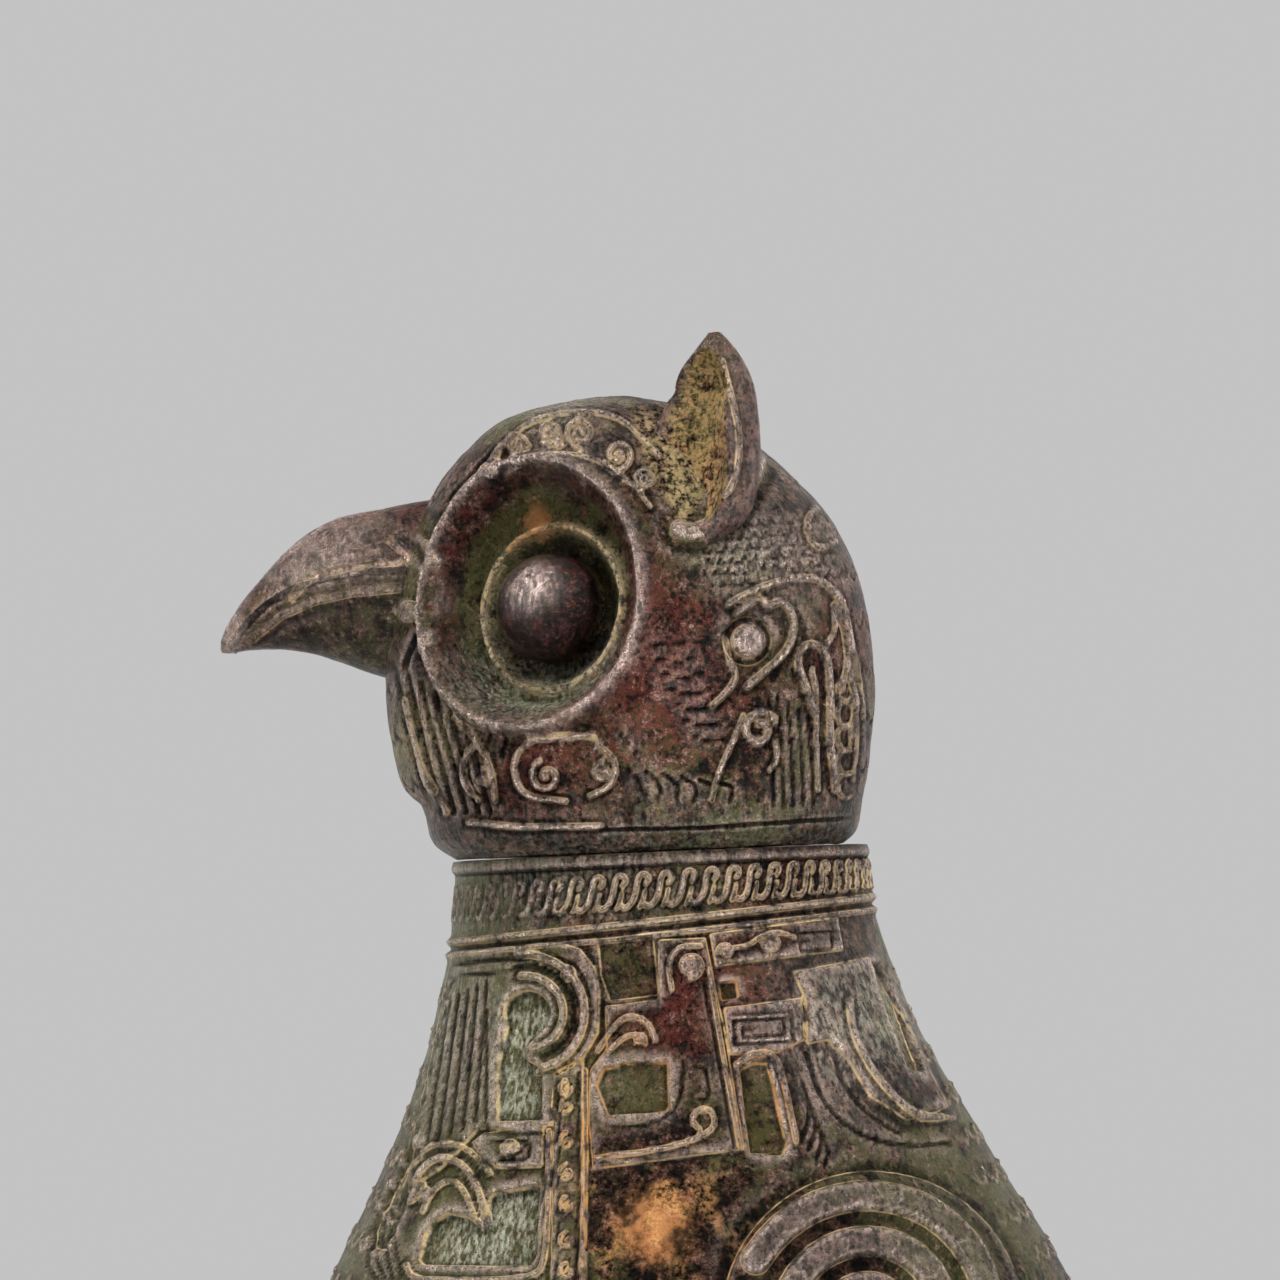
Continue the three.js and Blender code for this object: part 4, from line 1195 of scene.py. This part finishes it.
def build_leg(name, side):
    column = ring_grid(sections([(*s[:5], side * s[5]) for s in LEG], np.linspace(0, 5, 60)),
                       angles(64))
    parts = [mesh_of(name, column)]
    for dx, y, wide, long in ((0, -42, 6, 15), (-11, -39, 6, 15), (11, -39, 6, 15),
                              (0, 0, 6, 10)):
        x = side * 34 + dx
        parts.append(scaled_ball((x, y + NECK_Y, 3), (wide, long, 8)))
        tip = y - long + 3 if y < -10 else y + long - 2
        parts.append(scaled_ball((x, tip + NECK_Y, 2.5), (3.0, 4.4, 4.2)))
    bpy.ops.object.select_all(action="DESELECT")
    for ob in parts:
        ob.select_set(True)
    bpy.context.view_layer.objects.active = parts[0]
    bpy.ops.object.join()
    ob = parts[0]
    remesh = ob.modifiers.new("merge", "REMESH")
    remesh.mode = "VOXEL"
    remesh.voxel_size = 0.9 * MM
    smooth = ob.modifiers.new("smooth", "SMOOTH")
    smooth.iterations = 5
    bpy.ops.object.modifier_apply(modifier="merge")
    bpy.ops.object.modifier_apply(modifier="smooth")
    me = ob.data
    co = np.empty(len(me.vertices) * 3, np.float32)
    nn = np.empty(len(me.vertices) * 3, np.float32)
    me.vertices.foreach_get("co", co)
    me.vertices.foreach_get("normal", nn)
    axis = np.array([0, NECK_Y, 0])
    co = co.reshape(-1, 3).astype(float) / MM - axis
    nn = nn.reshape(-1, 3).astype(float)
    r = Relief(co[:, 1], co[:, 2])
    r.ridge(spiral(np.array([-22.0, 38.0]), 9, 2.0, 90, 1), 2.0, 0.8, 0.7)
    for k in range(3):
        r.groove(np.array([[-36.0, 20 - 4.0 * k], [-22.0, 18.5 - 4.0 * k], [-8.0, 20 - 4.0 * k]]),
                 1.1, 0.5, 0.7)
    w = smoothstep(0.2, 0.6, np.abs(nn[:, 0]))
    look = faded(r.layers(), w)
    co = co + nn * look["h"][:, None]
    co[:, 2] = np.maximum(co[:, 2], GROUND)
    co[:, 2] = np.minimum(co[:, 2], belly_level(co[:, 0], co[:, 1]) + 1.4)
    me.vertices.foreach_set("co", ((co + axis) * MM).astype(np.float32).ravel())
    layers = all_layers(look, worn=0.2, grey=0.15, green=0.5, ground=0.5 * (1 - look["plain"]) * w)
    for key, values in layers.items():
        me.attributes.new(key, "FLOAT", "POINT").data.foreach_set(
            "value", values.astype(np.float32))
    me.polygons.foreach_set("use_smooth", np.full(len(me.polygons), True))
    me.update()
    return ob


def build_tail():
    around, rings = count(160), count(90)
    grid = ring_grid(sections(TAIL, np.linspace(0, 5, rings)), angles(around))
    normals = grid_normals(grid)
    back = Relief(grid[..., 0], grid[..., 2])
    for x in (-21, -12.5, -4.2, 4.2, 12.5, 21):
        back.groove(np.array([[x * 0.75, 96.0], [x, 8.0]]), 1.3, 0.7, 0.8)
    for k in range(10):
        for x in (-25, -16.8, -8.4, 0, 8.4, 16.8, 25):
            back.groove(arc(np.array([x, 88.0 - 9 * k]), 3.2, 200, 340, 7), 0.8, 0.35, 0.5)
    w = smoothstep(0.3, 0.7, np.abs(normals[..., 1]))
    look = faded(back.layers(), w)
    out = grid + normals * (look["h"] + roughen(grid, 0.1, 51))[..., None]
    out[..., 2] = np.maximum(out[..., 2], GROUND)
    s = np.array(BODY[:7], float)
    zz = out[..., 2]
    front, rear, half = (np.interp(zz, s[:, 0], s[:, k]) for k in (1, 2, 3))
    wide = np.clip(np.abs(out[..., 0]) / half, 0, 1)
    skin = (front + rear) / 2 + (rear - front) / 2 * (1 - wide ** 2.1) ** (1 / 2.1)
    out[..., 1] = np.where(zz > 47, np.maximum(out[..., 1], skin - 1.4), out[..., 1])
    return out, all_layers(look, worn=worn_edges(look["h"]) + 0.15, rust=0.1, grey=0.1, green=0.5,
                           ground=0.5 * (1 - w))


def piece(name, built, material, body, slot, *nodes, flip=False):
    grid, layers = built
    ob = mesh_of(name, grid, layers, flip=flip)
    uv_grid(ob, *grid.shape[:2])
    return dress(ob, material, body, slot, *nodes)


piece("body_skin", build_body(), bronze("body_patina_and_painted_light", 0.0, 0.75, 0.36), "vessel",
      "body_bronze", "vessel_body")
piece("head_skin", build_head(), bronze("head_patina_and_painted_light", 3.0, 0.80, 0.34, lining=0.55), "head",
      "head_bronze", "head_lid")
piece("beak_skin", build_beak(), bronze("beak_patina_and_painted_light", 6.0, 0.75, 0.34, lining=0.55), "head",
      "beak_bronze", "beak", flip=True)
ear_patina_and_painted_light = bronze("ear_patina_and_painted_light", 11.0, 0.6, 0.36)
eye_patina_and_painted_light = bronze("eye_patina_and_painted_light", 15.0, 0.8, 0.20, 0.0, 0.0, 0.22, (0.060, 0.020, 0.020),
                    (0.022, 0.016, 0.010))
leg_patina_and_painted_light = bronze("leg_patina_and_painted_light", 19.0, 0.5, 0.42)
for word, side in (("left", 1), ("right", -1)):
    piece(f"{word}_ear_skin", build_ear(side), ear_patina_and_painted_light, "head", "ear_bronze",
          f"{word}_ear", flip=side < 0)
    piece(f"{word}_pupil", build_pupil(side), eye_patina_and_painted_light, "head", "eye_bronze", f"{word}_eye")
    dress(build_leg(f"{word}_leg_skin", side), leg_patina_and_painted_light, "vessel", "leg_bronze", f"{word}_leg")
piece("tail_skin", build_tail(), bronze("tail_patina_and_painted_light", 23.0, 0.5, 0.42), "vessel",
      "tail_bronze", "tail")

flange_patina_and_painted_light = bronze("flange_patina_and_painted_light", 27.0, 0.3, 0.5, ground=OLIVE, patches=GREEN, drawn=False)
core_clay = clay("casting_clay")
for name, material in (("lid_flange", flange_patina_and_painted_light), ("left_leg_core", core_clay),
                       ("right_leg_core", core_clay)):
    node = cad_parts[name]
    node.data.materials.clear()
    node.data.materials.append(material)

# Studio

BACKDROP = 0.55
SKY_LIGHT = 0.5                # share of the backdrop's tone that lights the scene
scene = bpy.context.scene


def seen_rays(tree):
    """1 for the rays that show a surface itself, 0 for those that only carry its light."""
    path = tree.nodes.new("ShaderNodeLightPath")
    result = path.outputs["Is Camera Ray"]
    for key in ("Is Glossy Ray", "Is Transmission Ray"):
        either = tree.nodes.new("ShaderNodeMath")
        either.operation = "MAXIMUM"
        link(tree, result, either.inputs[0])
        link(tree, path.outputs[key], either.inputs[1])
        result = either.outputs[0]
    return result


def pale_floor():
    """A pale floor that runs into the backdrop's tone well away from the object."""
    bpy.ops.mesh.primitive_plane_add(size=30, location=(0, 0, 0))
    floor = bpy.context.object
    floor.name = "floor"
    pale = bpy.data.materials.new("floor_pale")
    n = Nodes(pale)
    n.shader.inputs["Base Color"].default_value = (0.62, 0.62, 0.62, 1)
    n.shader.inputs["Roughness"].default_value = 0.9
    away = n.add("ShaderNodeVectorMath", operation="LENGTH")
    link(n.tree, n.place, away.inputs[0])
    seen = seen_rays(n.tree)
    tone = n.add("ShaderNodeEmission")
    tone.inputs["Color"].default_value = (BACKDROP, BACKDROP, BACKDROP, 1)
    blend = n.add("ShaderNodeMixShader")
    link(n.tree, n.math("MULTIPLY", n.ramp(away.outputs["Value"], 0.35, 1.3), seen, True),
         blend.inputs[0])
    link(n.tree, n.shader.outputs[0], blend.inputs[1])
    link(n.tree, tone.outputs[0], blend.inputs[2])
    link(n.tree, blend.outputs[0], n.tree.nodes["Material Output"].inputs["Surface"])
    floor.data.materials.append(pale)


def studio_sky():
    """A backdrop of one tone up to well above the object, darker overhead."""
    world = bpy.data.worlds.new("studio")
    scene.world = world
    world.use_nodes = True
    tree = world.node_tree
    tone = tree.nodes.new("ShaderNodeMapRange")
    tone.interpolation_type = "SMOOTHSTEP"
    for key, value in (("From Min", 0.15), ("From Max", 0.55), ("To Min", BACKDROP),
                       ("To Max", 0.06)):
        tone.inputs[key].default_value = value
    toward = tree.nodes.new("ShaderNodeTexCoord")
    height = tree.nodes.new("ShaderNodeSeparateXYZ")
    link(tree, toward.outputs["Generated"], height.inputs[0])
    link(tree, height.outputs[2], tone.inputs["Value"])
    link(tree, tone.outputs["Result"], tree.nodes["Background"].inputs["Color"])
    level = tree.nodes.new("ShaderNodeMapRange")
    level.inputs["To Min"].default_value = SKY_LIGHT
    link(tree, seen_rays(tree), level.inputs["Value"])
    link(tree, level.outputs["Result"], tree.nodes["Background"].inputs["Strength"])


def lamp(name, place, size, power):
    """A square soft box that looks at the owl's neck."""
    data = bpy.data.lights.new(name, "AREA")
    data.energy = power
    data.size = size
    ob = bpy.data.objects.new(name, data)
    ob.location = place
    toward = Vector((0, -0.005, 0.23)) - Vector(place)
    ob.rotation_euler = toward.to_track_quat("-Z", "Y").to_euler()
    scene.collection.objects.link(ob)


def photograph_camera():
    """The photograph's view: from the owl's left, level with the collar, a little tilted."""
    camera = bpy.data.objects.new("camera", bpy.data.cameras.new("camera"))
    scene.collection.objects.link(camera)
    scene.camera = camera
    target = Vector((0, (CAMERA_Y + NECK_Y) * MM, AIM_Z * MM))
    camera.location = Vector((AWAY * MM, target.y, CAMERA_Z * MM))
    back = (camera.location - target).normalized()
    upward = Vector((0, math.sin(LEVEL), math.cos(LEVEL)))
    right = upward.cross(back).normalized()
    upward = back.cross(right).normalized()
    camera.rotation_mode = "QUATERNION"
    camera.rotation_quaternion = Matrix((right, upward, back)).transposed().to_quaternion()
    camera.data.sensor_width = 36
    camera.data.lens = 36 * (camera.location - target).length / (EDGE * PX * MM)
    camera.data.dof.use_dof = False
    camera.data.clip_start, camera.data.clip_end = 0.05, 20


pale_floor()
studio_sky()
lamp("top", (0.42, 0.05, 1.15), 0.50, 10.5)
lamp("right", (0.70, 0.80, 0.75), 0.32, 7.5)
lamp("front", (0.66, -0.98, 0.60), 0.32, 7.0)
photograph_camera()
scene.view_settings.view_transform = "Standard"

bpy.context.view_layer.update()
